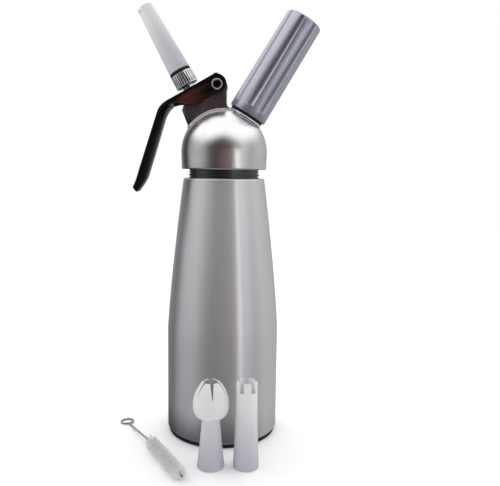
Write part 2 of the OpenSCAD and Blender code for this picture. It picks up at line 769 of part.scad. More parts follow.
module gas_charger() {
    neck_len = 5.6;
    wall = 1.6;
    outer = concat(
        [[needle_hole_r, 0], [bulb_neck_r - 0.4, 0], [bulb_neck_r, 0.4], [bulb_neck_r, neck_len]],
        [for (i = [1:8]) pulled([bulb_neck_r, neck_len], [bulb_r, neck_len + 2.5],
                                [bulb_r, neck_len + 9], i / 8)],
        arc([0, bulb_len - bulb_r], bulb_r, 0, 90, 10));
    inner = concat(
        arc([0, bulb_len - bulb_r], bulb_r - wall, 90, 0, 8),
        [for (i = [8:-1:1]) pulled([needle_hole_r + 1, neck_len], [bulb_r - wall, neck_len + 4],
                                   [bulb_r - wall, neck_len + 9], i / 8)],
        [[needle_hole_r + 1, neck_len], [needle_hole_r + 1, 3.5], [needle_hole_r, 3.5]]);
    color("lightsteelblue") charger_frame() translate([0, 0, bulb_b])
        rotate_extrude() polygon(concat(outer, inner));
}

module charger_holder() {
    length = holder_end_b - holder_b;
    end_round = 1.4;
    color([0.62, 0.62, 0.7]) charger_frame() union() {
        difference() {
            translate([0, 0, holder_b]) rotate_extrude() polygon(concat(
                [[0, 0], [holder_r - 0.5, 0], [holder_r, 0.5], [holder_r, flute_start - 2]],
                arc([holder_end_r - end_round, length - end_round], end_round, 5, 90, 5),
                [[0, length]]));
            translate([0, 0, holder_b - 1])
                cylinder(h = holder_thread_end_b - holder_b + 1, r = holder_thread_r);
            cylinder(h = bulb_end_b + gap, r = bulb_bore_r);
            for (i = [0:flutes - 1]) rotate([0, 0, flute_turn + i * 360 / flutes])
                translate([holder_r + flute_r - flute_depth, 0, holder_b + flute_start])
                    cylinder(h = far, r = flute_r);
        }
        translate([0, 0, boss_b + port_ring_t + 2.6 + holder_pitch / 2])
            screw_ridge(holder_thread_r - port_ridge, holder_thread_r + thread_bite,
                        port_crest_w, port_root_w, holder_pitch, holder_turns - 0.75);
    }
}

// ---- Loose kit ----

module tulip_tip() {
    head_z = tulip_waist_z + 9;
    slit_foot = head_z + 6.5;
    outer = concat(
        [[tulip_foot_r, 0], [tulip_foot_r, 1.5]],
        [for (i = [1:6]) pulled([tulip_foot_r, 1.5], [tulip_foot_r - 1.6, 14],
                                [tulip_waist_r, tulip_waist_z - 3], i / 6)],
        [for (i = [0:5]) pulled([tulip_waist_r, tulip_waist_z], [tulip_head_r, tulip_waist_z + 1.5],
                                [tulip_head_r, head_z], i / 5)],
        [for (i = [1:8]) pulled([tulip_head_r, head_z], [tulip_head_r, head_z + 8.2],
                                [tulip_mouth_r, tulip_h], i / 8)]);
    inner = concat(
        [for (i = [8:-1:1]) pulled([tulip_head_r - tip_wall, head_z], [tulip_head_r - tip_wall, head_z + 7.6],
                                   [tulip_mouth_r - tip_wall, tulip_h], i / 8)],
        [for (i = [5:-1:0]) pulled([tulip_waist_r - tip_wall, tulip_waist_z + 1],
                                   [tulip_head_r - tip_wall, tulip_waist_z + 3],
                                   [tulip_head_r - tip_wall, head_z], i / 5)],
        [[tulip_waist_r - tip_wall, socket_len + 4], [socket_r, socket_len], [socket_r, 0]]);
    color("white") translate([tulip_pos[0], tulip_pos[1], 0]) difference() {
        rotate_extrude() polygon(concat(outer, inner));
        // wedge-shaped slits part the petals
        for (i = [0:petals - 1]) rotate([0, 0, -90 + i * 360 / petals]) rotate([90, 0, 90])
            linear_extrude(height = 30)
                polygon([[-0.15, slit_foot], [0.15, slit_foot],
                         [petal_gap / 2, tulip_h + 0.1], [-petal_gap / 2, tulip_h + 0.1]]);
    }
}

module star_tip() {
    outer = concat(
        [[star_foot_r, 0], [star_foot_r, 1.5]],
        [for (i = [1:5]) pulled([star_foot_r, 1.5], [star_foot_r - 0.9, 18],
                                [star_mouth_r + 0.3, star_h - 22], i / 5)],
        [[star_mouth_r, star_h - 0.8], [star_mouth_r - 0.5, star_h]]);
    inner = [[star_mouth_r - tip_wall, star_h], [star_mouth_r - tip_wall, socket_len + 4],
             [socket_r, socket_len], [socket_r, 0]];
    color("white") translate([star_pos[0], star_pos[1], 0]) difference() {
        rotate_extrude() polygon(concat(outer, inner));
        // one tooth faces the front, a little to the right
        for (i = [0:star_teeth - 1]) rotate([0, 0, -85 + (i + 0.5) * 360 / star_teeth])
            translate([0, -star_gap / 2, star_h - star_notch]) cube([30, star_gap, 10]);
    }
}

// The brush's own frame: its loop's middle on the table, the brush running along +X
module brush_frame() {
    translate([loop_pos[0], loop_pos[1], 0]) rotate([0, 0, brush_heading]) children();
}

module brush_wire() {
    start_x = loop_r - wire_r;
    end_x = loop_r + stem_len;
    rise = brush_z - wire_r;
    run = end_x - start_x;
    color("gray") brush_frame() union() {
        translate([0, 0, wire_r]) rotate_extrude()
            translate([loop_r - wire_r, 0]) circle(r = wire_r, $fn = 24);
        translate([start_x, 0, wire_r]) rotate([0, atan2(run, rise), 0])
            cylinder(h = norm([run, rise]), r = wire_r, $fn = 24);
        translate([end_x, 0, brush_z]) sphere(r = wire_r + 0.05, $fn = 24);
        translate([end_x, 0, brush_z]) rotate([0, 90, 0])
            cylinder(h = bristle_len + 2.5, r = wire_r, $fn = 24);
    }
}

// All bristles and the slice of wire that grips them, as one closed surface: the slice is a
// slowly turning prism, and each of its cells is drawn out into one four-sided bristle.
module brush_bristles() {
    row_w = bristle_len / bristle_rows;
    cell = 360 / bristles_row;
    function round_at(r, angle, x) = [x, r * cos(angle), r * sin(angle)];
    function corner_angle(row, j) = row * row_turn + j * cell;
    // the table stops the bristles that point down
    function reach(row, j) =
        let (angle = corner_angle(row + 0.5, j + 0.5),
             free = bristle_r * (0.9 + 0.1 * scatter(row * bristles_row + j)))
        sin(angle) < -0.5 ? min(free, (brush_z - bristle_half) / -sin(angle)) : free;
    function tip(row, j, dx, dt) =
        let (angle = corner_angle(row + 0.5, j + 0.5), r = reach(row, j), x = (row + 0.5) * row_w)
        round_at(r, angle, x + dx * bristle_half) + dt * bristle_half * [0, -sin(angle), cos(angle)];
    core = [for (row = [0:bristle_rows], j = [0:bristles_row - 1])
        round_at(core_r, corner_angle(row, j), row * row_w)];
    tips = [for (row = [0:bristle_rows - 1], j = [0:bristles_row - 1])
        each [tip(row, j, -1, -1), tip(row, j, 1, -1), tip(row, j, 1, 1), tip(row, j, -1, 1)]];
    first_tip = len(core);
    function at_core(row, j) = row * bristles_row + j % bristles_row;
    sides = [for (row = [0:bristle_rows - 1], j = [0:bristles_row - 1]) let (
            foot = [at_core(row, j), at_core(row + 1, j), at_core(row + 1, j + 1), at_core(row, j + 1)],
            t = first_tip + 4 * (row * bristles_row + j))
        each concat(
            [for (k = [0:3]) let (m = (k + 1) % 4) each [[foot[k], foot[m], t + k], [foot[m], t + m, t + k]]],
            [[t, t + 1, t + 2], [t, t + 2, t + 3]])];
    last = bristle_rows * bristles_row;
    ends = [for (j = [1:bristles_row - 2]) each [[0, j, j + 1], [last, last + j + 1, last + j]]];
    color("gainsboro") brush_frame() translate([loop_r + stem_len, 0, brush_z])
        polyhedron(concat(core, tips), concat(sides, ends), convexity = 10);
}

bottle();
foot_pad();
head_gasket();
head_dome();
lever_bracket();
valve_sleeve();
sleeve_nut();
stem_seal_ring();
valve_spring();
lever_pin();
pin_clip();
lever();
valve_stem();
valve_seal();
seal_nut();
tip_adapter();
tip_seal();
tip_nozzle();
charger_port();
port_ring();
charger_seal();
piercing_pin();
check_valve();
gas_charger();
charger_holder();
tulip_tip();
star_tip();
brush_wire();
brush_bristles();
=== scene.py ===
"""The looks of a whipped cream dispenser and its loose kit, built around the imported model."""
import math
import random

import bmesh
import bpy
from mathutils import Matrix, Vector


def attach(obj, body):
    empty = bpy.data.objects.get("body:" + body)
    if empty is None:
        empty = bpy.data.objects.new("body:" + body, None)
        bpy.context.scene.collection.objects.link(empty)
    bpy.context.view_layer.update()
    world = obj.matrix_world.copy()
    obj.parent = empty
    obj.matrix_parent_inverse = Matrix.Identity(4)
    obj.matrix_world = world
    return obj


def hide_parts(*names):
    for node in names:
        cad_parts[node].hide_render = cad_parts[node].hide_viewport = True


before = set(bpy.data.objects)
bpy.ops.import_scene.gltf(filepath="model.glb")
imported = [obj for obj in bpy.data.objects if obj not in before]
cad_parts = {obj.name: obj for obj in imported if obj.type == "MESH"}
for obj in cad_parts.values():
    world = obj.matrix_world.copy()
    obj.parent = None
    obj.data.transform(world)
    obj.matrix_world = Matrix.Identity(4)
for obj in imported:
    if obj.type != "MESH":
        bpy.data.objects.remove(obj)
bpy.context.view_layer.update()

# ---- Studio ----
# The set stands on a plain white table in a light tent. The tent is bright overhead and on
# both sides, with a dim, warm opening towards the camera, as the polished metal shows.

MM = 0.001
PHOTO_WIDTH_PX = 500
FOCAL_LENGTH_PX = 605
SENSOR_MM = 36

camera_place = (0.0193, -0.4366, 0.1918)
camera_down_deg = 6.94
camera_roll_deg = 0.79
unmoved = Matrix.Identity(4)


def moved(x, y, z):
    """A place so far from the one before it."""
    return Matrix.Translation((x, y, z))


def rotated(degrees, axis):
    """A place turned about one of its own axes."""
    return Matrix.Rotation(math.radians(degrees), 4, axis)


def shown(name, data):
    """An object of the scene, from a mesh or from the camera's lens."""
    thing = bpy.data.objects.new(name, data)
    bpy.context.scene.collection.objects.link(thing)
    return thing


lens = bpy.data.cameras.new("camera")
lens.sensor_width = SENSOR_MM
lens.lens = FOCAL_LENGTH_PX / PHOTO_WIDTH_PX * SENSOR_MM
lens.clip_start = 0.01
lens.clip_end = 20
camera = shown("camera", lens)
aimed_down = rotated(90 - camera_down_deg, "X")
camera.matrix_world = moved(*camera_place) @ aimed_down @ rotated(camera_roll_deg, "Z")
bpy.context.scene.camera = camera
bpy.context.scene.view_settings.view_transform = "Standard"


def add(tree, kind, sockets=None, **settings):
    """A shader node; sockets gives its inputs, each a constant or another node's output."""
    node = tree.nodes.new("ShaderNode" + kind)
    for name, value in settings.items():
        setattr(node, name, value)
    for key, value in (sockets or {}).items():
        if isinstance(value, bpy.types.NodeSocket):
            tree.links.new(value, node.inputs[key])
        else:
            node.inputs[key].default_value = value
    return node


def tree_of(*values):
    """The node tree that the first socket among some values belongs to."""
    return next(value.id_data for value in values if isinstance(value, bpy.types.NodeSocket))


def sums(operation, *values):
    """One step of arithmetic on sockets and numbers."""
    return add(tree_of(*values), "Math", dict(enumerate(values)), operation=operation).outputs[0]


def times(first, second):
    """One value times another."""
    return sums("MULTIPLY", first, second)


def plus(first, second):
    """One value added to another."""
    return sums("ADD", first, second)


def blend(share, first, second):
    """So much of the first pattern, and the rest of the second."""
    return plus(times(first, share), times(second, 1 - share))


def spread(value, low, high, to_low=0.0, to_high=1.0):
    """Carries a value from one range to another, with soft ends."""
    node = add(value.id_data, "MapRange", {0: value, 1: low, 2: high, 3: to_low, 4: to_high},
               interpolation_type="SMOOTHSTEP")
    return node.outputs[0]


def mixed(share, first, second, blend_type="MIX"):
    """Two colours mixed by a share from 0 to 1."""
    node = add(tree_of(share, first, second), "Mix", {0: share, 6: first, 7: second},
               data_type="RGBA", blend_type=blend_type)
    return node.outputs[2]


def ramp(value, stops):
    """Colours by value; each stop is a place from 0 to 1 and a colour."""
    node = add(value.id_data, "ValToRGB", {0: value})
    band = node.color_ramp
    while len(band.elements) < len(stops):
        band.elements.new(0.5)
    for element, (place, colour) in zip(band.elements, stops):
        element.position = place
        element.color = (*colour, 1)
    return node.outputs[0]


def grey(level, warmth=0.0):
    """A near-neutral colour; warmth leans it to red, and below zero to blue."""
    return (level * (1 + warmth), level, level * (1 - warmth))


# What stands round the table, by its direction from the camera's side: 0 is where the camera
# is, below 0 the left, and 180 straight behind the dispenser.
dim_room = (0.20, 0.13, 0.125)
tent_by_direction = [
    (-180, grey(0.32)), (-160, grey(0.33, -0.04)), (-146, grey(0.20, -0.06)), (-132, grey(0.11, -0.06)),
    (-117, grey(0.09, -0.05)), (-106, grey(0.24, -0.03)), (-92, grey(0.46, -0.01)), (-70, grey(0.49)),
    (-56, grey(0.40)), (-44, grey(0.18, 0.02)), (-32, grey(0.055, 0.03)), (-18, (0.055, 0.042, 0.045)),
    (-6, (0.14, 0.09, 0.09)), (4, dim_room), (16, dim_room), (26, grey(0.13, 0.08)), (37, grey(0.42)),
    (50, grey(0.66, -0.03)), (60, grey(0.58, -0.03)), (72, grey(0.40, -0.02)), (84, grey(0.43, 0.01)),
    (104, grey(0.50, 0.02)), (140, grey(0.44, 0.01)), (160, grey(0.36)), (180, grey(0.32))]

world = bpy.data.worlds.new("light_tent")
world.use_nodes = True
bpy.context.scene.world = world
tent = world.node_tree
tent.nodes.clear()
direction = add(tent, "SeparateXYZ", {0: add(tent, "TexCoord").outputs["Generated"]})
east, north, height = direction.outputs
turn = sums("ARCTAN2", east, times(north, -1.0))
share_of_turn = plus(sums("DIVIDE", turn, math.tau), 0.5)
round_the_table = ramp(share_of_turn, [(at / 360 + 0.5, colour) for at, colour in tent_by_direction])

# A narrow lamp stands to the right of the camera and leans a little to it. It is brightest low
# down, and fades out above the table.
lamp_left_deg = 31
lamp_right_deg = 40.5
lamp_lean_deg = 26
past_the_lamp = plus(times(turn, math.degrees(1)), times(height, lamp_lean_deg))
lamp = times(spread(past_the_lamp, lamp_left_deg, lamp_left_deg + 4),
             spread(past_the_lamp, lamp_right_deg, lamp_right_deg - 2.5))
lamp = times(lamp, spread(height, 0.25, -0.05, 0.9, 2.2))
lamp = times(lamp, spread(height, -0.42, -0.12, 0.25, 1.0))
reflected = mixed(1.0, round_the_table, lamp, "ADD")

# Behind the camera it is darker above eye height. The far parts of the table are dim and
# bluish, most on the left. The table close by is white, and overhead it is brightest.
behind_camera = times(spread(height, 0.02, 0.25), spread(north, -0.55, -0.85))
far_right = times(spread(height, -0.10, -0.43), spread(turn, 1.75, 1.1))
far_left = times(spread(height, -0.20, -0.40), spread(turn, -0.70, -1.15))
nearer = spread(height, -0.32, -0.46)
for share, tint in ((behind_camera, (0.25, 0.22, 0.24, 1)), (far_right, (0.17, 0.21, 0.29, 1)),
                    (nearer, (0.40, 0.42, 0.48, 1)), (far_left, (0.62, 0.68, 0.80, 1))):
    reflected = mixed(share, reflected, tint, "MULTIPLY")
reflected = mixed(spread(height, -0.72, -0.95), reflected, (*grey(0.80), 1))
ceiling = times(spread(height, 0.28, 0.62), spread(north, -0.84, -0.62))
reflected = mixed(ceiling, reflected, (*grey(1.22), 1))

towards_camera = spread(north, 0.35, -0.95, 1.45, 0.50)
soft_light = add(tent, "Background", {0: (1, 0.995, 0.99, 1), 1: towards_camera})
seen_in_metal = add(tent, "Background", {0: reflected, 1: 1.0})
backdrop = add(tent, "Background", {0: (1, 1, 1, 1), 1: 1.0})
ray = add(tent, "LightPath")
lit = add(tent, "MixShader", {0: ray.outputs["Is Glossy Ray"], 1: soft_light.outputs[0],
                              2: seen_in_metal.outputs[0]})
seen = add(tent, "MixShader", {0: ray.outputs["Is Camera Ray"], 1: lit.outputs[0], 2: backdrop.outputs[0]})
add(tent, "OutputWorld", {0: seen.outputs[0]})


def material(name, **sockets):
    """A new material with the values that are the same all over it; gives back its node tree and
    its shader too, to hang the rest on."""
    made = bpy.data.materials.new(name)
    made.use_nodes = True
    shader = made.node_tree.nodes["Principled BSDF"]
    for socket, value in sockets.items():
        shader.inputs[socket.replace("_", " ")].default_value = value
    return made, made.node_tree, shader


def feed(shader, socket, value):
    """Lets a pattern or a colour drive one of a shader's sockets."""
    shader.id_data.links.new(value, shader.inputs[socket])


def placed(tree, stretch=(1, 1, 1), place=unmoved):
    """The object's own coordinates in millimetres, in the frame of a place, stretched for a pattern."""
    back = place.inverted()
    own = add(tree, "Mapping", {0: add(tree, "TexCoord").outputs["Object"], 1: back.translation,
                                2: tuple(back.to_euler()), 3: (1 / MM, 1 / MM, 1 / MM)})
    return add(tree, "Mapping", {0: own.outputs[0], 3: stretch}).outputs[0]


def noise(tree, scale, detail=2.0, where=None):
    """Soft random variation from 0 to 1, with so many waves to a millimetre."""
    where = placed(tree) if where is None else where
    return add(tree, "TexNoise", {"Vector": where, "Scale": scale, "Detail": detail}).outputs["Fac"]


def bump(shader, height, depth_mm, strength=1.0):
    """Raises the surface by a height from 0 to 1, times a depth."""
    sockets = {"Height": height, "Strength": strength, "Distance": depth_mm * MM}
    feed(shader, "Normal", add(shader.id_data, "Bump", sockets).outputs[0])


def gloss(shader, pattern, smoothest, roughest):
    """Roughness that follows a pattern from one value to another."""
    feed(shader, "Roughness", spread(pattern, 0.3, 0.7, smoothest, roughest))


table_white, tree, shader = material("table_white", Roughness=0.8, Emission_Color=(1, 1, 1, 1),
                                     Emission_Strength=0.10)
table_tone = ramp(noise(tree, 0.004), [(0.3, grey(0.925, -0.006)), (0.7, grey(0.935, -0.004))])
feed(shader, "Base Color", table_tone)
table_half = 1.5
table_gap = 0.05
table_mesh = bmesh.new()
bmesh.ops.create_grid(table_mesh, x_segments=1, y_segments=1, size=table_half)
table_data = bpy.data.meshes.new("table")
table_mesh.to_mesh(table_data)
table = shown("table", table_data)
table_data.materials.append(table_white)
table.location = (0, 0, -table_gap * MM)
table.visible_glossy = False

# ---- Bottle ----
# Deep-drawn from one sheet of aluminium, its mouth necked in and rolled with a bead and a
# screw ridge. The outside is brushed round on a lathe and left bare. The neck's colour is
# painted dark, as painted shade in the gap under the head.

pad_thickness = 2.8
body_radius = 40.1
taper_height = 78
shoulder_radius = 28.95
shoulder_height = 183.6
side_pull_radius = 37.6
side_pull_share = 0.38
neck_foot = 185.4
neck_radius = 24.7
neck_bore = 22.2
neck_top = 202.0
bottle_wall = 2
bottle_floor = 3
foot_round = 1.6
shoulder_round = 1.4
rim_round = 0.8
neck_screw_root = 24.3
neck_screw_crest = 26.1
neck_screw_foot = 193.5
head_screw = {"root_width": 2.0, "crest_width": 1.2, "pitch": 4, "turns": 1.5}
shaded_below = 28
shade_ends_at_x = 31


def pulled(start, pull, end, steps):
    """Points of a curve that leaves start towards pull and reaches end from it."""
    shares = [step / steps for step in range(steps + 1)]
    return [tuple((1 - t) ** 2 * a + 2 * t * (1 - t) * b + t * t * c
                  for a, b, c in zip(start, pull, end)) for t in shares]


def arc(centre, radius, first_deg, last_deg, steps):
    """Points on an arc round a centre."""
    turns = [math.radians(first_deg + (last_deg - first_deg) * step / steps) for step in range(steps + 1)]
    return [(centre[0] + radius * math.cos(a), centre[1] + radius * math.sin(a)) for a in turns]


def turned(outline, steps=144, ring=False):
    """A turned shape: an outline of (radius, height) spun about Z; ring joins its two ends."""
    shape = bmesh.new()
    corners = [shape.verts.new((radius, 0, height)) for radius, height in outline]
    for first, second in zip(corners, corners[1:] + corners[:1] * ring):
        shape.edges.new((first, second))
    bmesh.ops.spin(shape, geom=shape.verts[:] + shape.edges[:], cent=(0, 0, 0), axis=(0, 0, 1),
                   dvec=(0, 0, 0), angle=math.tau, steps=steps, use_merge=True)
    bmesh.ops.remove_doubles(shape, verts=shape.verts, dist=1e-5)
    bmesh.ops.recalc_face_normals(shape, faces=shape.faces)
    return shape


def added(shape, other):
    """Puts a second mesh into the first, as a shell of its own."""
    spare = bpy.data.meshes.new("spare")
    other.to_mesh(spare)
    shape.from_mesh(spare)
    bpy.data.meshes.remove(spare)
    other.free()
    return shape


def finished(name, shape, look, place=unmoved, sharp_deg=38):
    """The object of a finished mesh: put in its place, made metres, smooth between sharp edges. Its
    own height, before it is placed, is kept in millimetres as the attribute rise."""
    rise = shape.verts.layers.float.new("rise")
    for vert in shape.verts:
        vert[rise] = vert.co.z
    bmesh.ops.transform(shape, matrix=Matrix.Scale(MM, 4) @ place, verts=shape.verts)
    data = bpy.data.meshes.new(name)
    shape.to_mesh(data)
    shape.free()
    data.shade_smooth()
    data.set_sharp_from_angle(angle=math.radians(sharp_deg))
    data.materials.append(look)
    return shown(name, data)


def screw_ridge(root_radius, crest_radius, root_width, crest_width, pitch, turns, foot):
    """A right-handed screw ridge: its section carried round and up."""
    steps = round(36 * turns)
    ridge = bmesh.new()
    section = ((root_radius, -root_width / 2), (crest_radius, -crest_width / 2),
               (crest_radius, crest_width / 2), (root_radius, root_width / 2))
    face = ridge.faces.new([ridge.verts.new((x, 0, foot + z)) for x, z in section])
    bmesh.ops.duplicate(ridge, geom=[face])
    bmesh.ops.spin(ridge, geom=[face, *face.edges, *face.verts], cent=(0, 0, 0), axis=(0, 0, 1),
                   dvec=(0, 0, pitch * turns / steps), angle=math.tau * turns, steps=steps, use_merge=False)
    bmesh.ops.remove_doubles(ridge, verts=ridge.verts, dist=1e-5)
    bmesh.ops.recalc_face_normals(ridge, faces=ridge.faces)
    return ridge


side_pull = (side_pull_radius, taper_height + (shoulder_height - taper_height) * side_pull_share)
side = pulled((body_radius, taper_height), side_pull, (shoulder_radius, shoulder_height), 28)
neck_grooves = [(0, 0.7), (-0.6, 0.75), (-0.6, 1.4), (0.3, 1.5), (0.45, 1.75), (0.45, 2.4), (0.3, 2.65),
                (-0.6, 2.75), (-0.6, 3.4), (0, 3.5), (0, 4.6), (-0.4, 4.65), (-0.4, 5.2), (0, 5.25)]
bottle_outside = (
    [(0, pad_thickness), (body_radius - foot_round - 0.8, pad_thickness)]
    + arc((body_radius - foot_round, pad_thickness + foot_round), foot_round, -80, 0, 8)
    + [(body_radius, pad_thickness + (taper_height - pad_thickness) * step / 6) for step in range(1, 6)]
    + side
    + arc((shoulder_radius - shoulder_round, shoulder_height + 0.2), shoulder_round, 10, 88, 8)
    + [(neck_radius + 0.9, neck_foot)] + arc((neck_radius + 0.5, neck_foot + 0.5), 0.5, -90, -180, 3)
    + [(neck_radius + out, neck_foot + up) for out, up in neck_grooves]
    + [(neck_radius, neck_top - rim_round)]
    + arc((neck_radius - rim_round, neck_top - rim_round), rim_round, 10, 90, 4))
bottle_inside = (
    arc((neck_bore + 0.6, neck_top - 0.6), 0.6, 90, 180, 4)
    + [(neck_bore, neck_foot - 1)]
    + [(radius - bottle_wall, height - 2) for radius, height in side[::-4]]
    + arc((body_radius - bottle_wall - 6, pad_thickness + bottle_floor + 6), 6, 0, -90, 6)
    + [(0, pad_thickness + bottle_floor)])
bottle_shape = turned(bottle_outside + bottle_inside, steps=192)
added(bottle_shape, screw_ridge(neck_screw_root, neck_screw_crest, foot=neck_screw_foot, **head_screw))


def lathe_lines(shader, depth_mm, finest_mm, place=unmoved):
    """Fine lines left round a turned or brushed surface: they vary across the turning only."""
    tree = shader.id_data
    across = 1 / finest_mm
    fine = noise(tree, 1.0, 3.0, placed(tree, (0.004, 0.004, across), place))
    broad = noise(tree, 1.0, 2.0, placed(tree, (0.003, 0.003, across / 7), place))
    lines = blend(0.8, fine, broad)
    bump(shader, lines, depth_mm)
    return lines


def own_axes(tree):
    """The object's own X, Y and Z, in millimetres."""
    return add(tree, "SeparateXYZ", {0: placed(tree)}).outputs


# The neck's colour is painted dark as painted shade, and the foot is painted darker as a
# painted reflection of its own shadow on the table.
brushed_aluminium, tree, shader = material("brushed_aluminium", Metallic=0.91, Anisotropic_Rotation=0.25)
lines = lathe_lines(shader, depth_mm=0.0006, finest_mm=0.15)
patches = noise(tree, 0.035, 3.0, placed(tree, (1, 1, 0.4)))
tone = blend(0.3, lines, patches)
bare = ramp(tone, [(0.32, (0.85, 0.855, 0.87)), (0.62, (0.90, 0.90, 0.905))])
across_the_bottle, _, up_the_bottle = own_axes(tree)
neck_in_painted_shade = spread(up_the_bottle, neck_foot - 0.4, neck_foot + 0.1)
left_and_middle = spread(across_the_bottle, shade_ends_at_x, shade_ends_at_x - 17, 0.15, 1.0)
in_the_shade = times(spread(up_the_bottle, shaded_below, pad_thickness), left_and_middle)
# Painted shade: the foot's colour darkens towards the table on its left and middle, as a painted reflection
# of its shadow.
bare = mixed(in_the_shade, bare, (0.34, 0.35, 0.38, 1))
# Painted shade: the neck's colour is near-black.
feed(shader, "Base Color", mixed(neck_in_painted_shade, bare, (0.12, 0.12, 0.13, 1)))
gloss(shader, lines, 0.33, 0.37)
feed(shader, "Anisotropic", spread(neck_in_painted_shade, 0, 1, 1.0, 0.2))
round_the_bottle = add(tree, "Tangent", direction_type="RADIAL", axis="Z")
feed(shader, "Tangent", round_the_bottle.outputs[0])

bottle = finished("bottle_shell", bottle_shape, brushed_aluminium, sharp_deg=30)
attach(bottle, "bottle")
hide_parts("bottle")

# ---- Foot pad ----
# A moulded black rubber disc glued under the bottle, a little smaller than the bottle's
# rim, so that a dark line shows where the bottle meets the table.

pad_radius = body_radius - 1.2

black_rubber, tree, shader = material("black_rubber", Base_Color=(0.012, 0.012, 0.013, 1),
                                      Specular_IOR_Level=0.35)
bump(shader, noise(tree, 4.0, 3.0), 0.05, 0.6)
gloss(shader, noise(tree, 0.3), 0.48, 0.66)

pad = finished("rubber_foot", turned(
    [(0, 0), (pad_radius - 7, 0), (pad_radius - 6.6, 0.5), (pad_radius - 5.4, 0.5), (pad_radius - 5, 0)]
    + arc((pad_radius - 0.6, 0.6), 0.6, -90, 0, 5)
    + arc((pad_radius - 0.3, pad_thickness - 0.3), 0.3, 0, 90, 3) + [(0, pad_thickness)]), black_rubber)
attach(pad, "bottle")
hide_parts("foot_pad")

# ---- Head gasket ----
# A flat ring of grey silicone rubber, pressed between the neck's rim and a seat inside the
# head. It stays in the head when the head is unscrewed.


def dress(names, look):
    """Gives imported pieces, whose shape is right as it is, their material."""
    for name in names:
        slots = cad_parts[name].data.materials
        slots.clear()
        slots.append(look)


grey_silicone, tree, shader = material("grey_silicone", Roughness=0.5, Specular_IOR_Level=0.4)
bump(shader, noise(tree, 3.0, 3.0), 0.03, 0.5)
cloudy_grey = ramp(noise(tree, 0.25), [(0.3, (0.26, 0.26, 0.27)), (0.7, (0.35, 0.35, 0.36))])
feed(shader, "Base Color", cloudy_grey)
dress(["head_gasket"], grey_silicone)

# ---- Domed head ----
# Cast aluminium, turned, then blasted to a satin skin. A low saddle under the lever's bracket
# and a boss for the gas port stand on it. Their rims are smoother, and painted near-white as
# a painted highlight.

dome_height = 203.5
dome_radius = 30.4
skirt_foot = 191.5
skirt_radius = 30.05
skirt_bore = 26.6
gasket_seat = 205
cavity_radius = 24.5
saddle_radius = 31.6
saddle_margin = 1.3
boss_radius = 12.5
boss_face = 29.5
valve_bore = 5.65
port_bore = 8.55
skirt_screw_root = 27.0
skirt_screw_crest = 25.2
skirt_screw_foot = 195.5
valve_tilt_deg = 29.5
gas_tilt_deg = 31

upright = moved(0, 0, dome_height)
valve_place = upright @ rotated(-valve_tilt_deg, "Y")
gas_place = upright @ rotated(gas_tilt_deg, "Y")
on_edge = rotated(90, "X")


def prism(outline, low, high, place=unmoved):
    """An outline drawn up from one height to another, then put in its place."""
    shape = bmesh.new()
    base = shape.faces.new([shape.verts.new((x, y, low)) for x, y in outline])
    risen = bmesh.ops.extrude_face_region(shape, geom=[base])["geom"]
    top = [item for item in risen if isinstance(item, bmesh.types.BMVert)]
    bmesh.ops.translate(shape, vec=(0, 0, high - low), verts=top)
    bmesh.ops.transform(shape, matrix=place, verts=shape.verts)
    bmesh.ops.recalc_face_normals(shape, faces=shape.faces)
    return shape


def block(low, high, place=unmoved):
    """A block between two corners, put in its place."""
    (x0, y0, z0), (x1, y1, z1) = low, high
    return prism([(x0, y0), (x1, y0), (x1, y1), (x0, y1)], z0, z1, place)


def rod(radius, low, high, place=unmoved, sides=64):
    """A plain round bar along Z, put in its place."""
    return prism(arc((0, 0), radius, 0, 360 - 360 / sides, sides - 1), low, high, place)


def ball(radius, place):
    """A sphere, put in its place."""
    shape = bmesh.new()
    bmesh.ops.create_uvsphere(shape, u_segments=160, v_segments=96, radius=radius, matrix=place)
    return shape


def carved(shape, other, operation="DIFFERENCE"):
    """Cuts, joins or keeps the common part of two closed shapes; gives back the first."""
    objects = []
    for part in (shape, other):
        data = bpy.data.meshes.new("carving")
        part.to_mesh(data)
        objects.append(shown("carving", data))
    step = objects[0].modifiers.new("step", "BOOLEAN")
    step.operation = operation
    step.solver = "EXACT"
    step.object = objects[1]
    result = objects[0].evaluated_get(bpy.context.evaluated_depsgraph_get()).to_mesh()
    shape.clear()
    shape.from_mesh(result)
    other.free()
    for spare in objects:
        data = spare.data
        bpy.data.objects.remove(spare)
        bpy.data.meshes.remove(data)
    bmesh.ops.remove_doubles(shape, verts=shape.verts, dist=1e-4)
    return shape


def eased(shape, width, sharper_than_deg=35, segments=3, where=lambda middle: True, bright=False):
    """Rounds the sharp edges whose middle is where they should be rounded; bright marks them with
    the attribute edge, for a painted highlight."""
    bmesh.ops.dissolve_limit(shape, angle_limit=math.radians(0.3), verts=shape.verts, edges=shape.edges)
    painted_highlight_mark = shape.faces.layers.float.new("edge") if bright else None
    shape.normal_update()
    sharp = [edge for edge in shape.edges if len(edge.link_faces) == 2
             and edge.calc_face_angle(0) > math.radians(sharper_than_deg)
             and where((edge.verts[0].co + edge.verts[1].co) / 2)]
    rounded = bmesh.ops.bevel(shape, geom=sharp, offset=width, offset_type="OFFSET", segments=segments,
                              profile=0.5, affect="EDGES", clamp_overlap=True, material=-1)
    for face in rounded["faces"] if bright else []:
        face[painted_highlight_mark] = 1
    return shape


bracket_half = 8.5
bracket_left = -13.1
bracket_corner = 5
bracket_side_x = 1.3
bracket_toe = 4.4


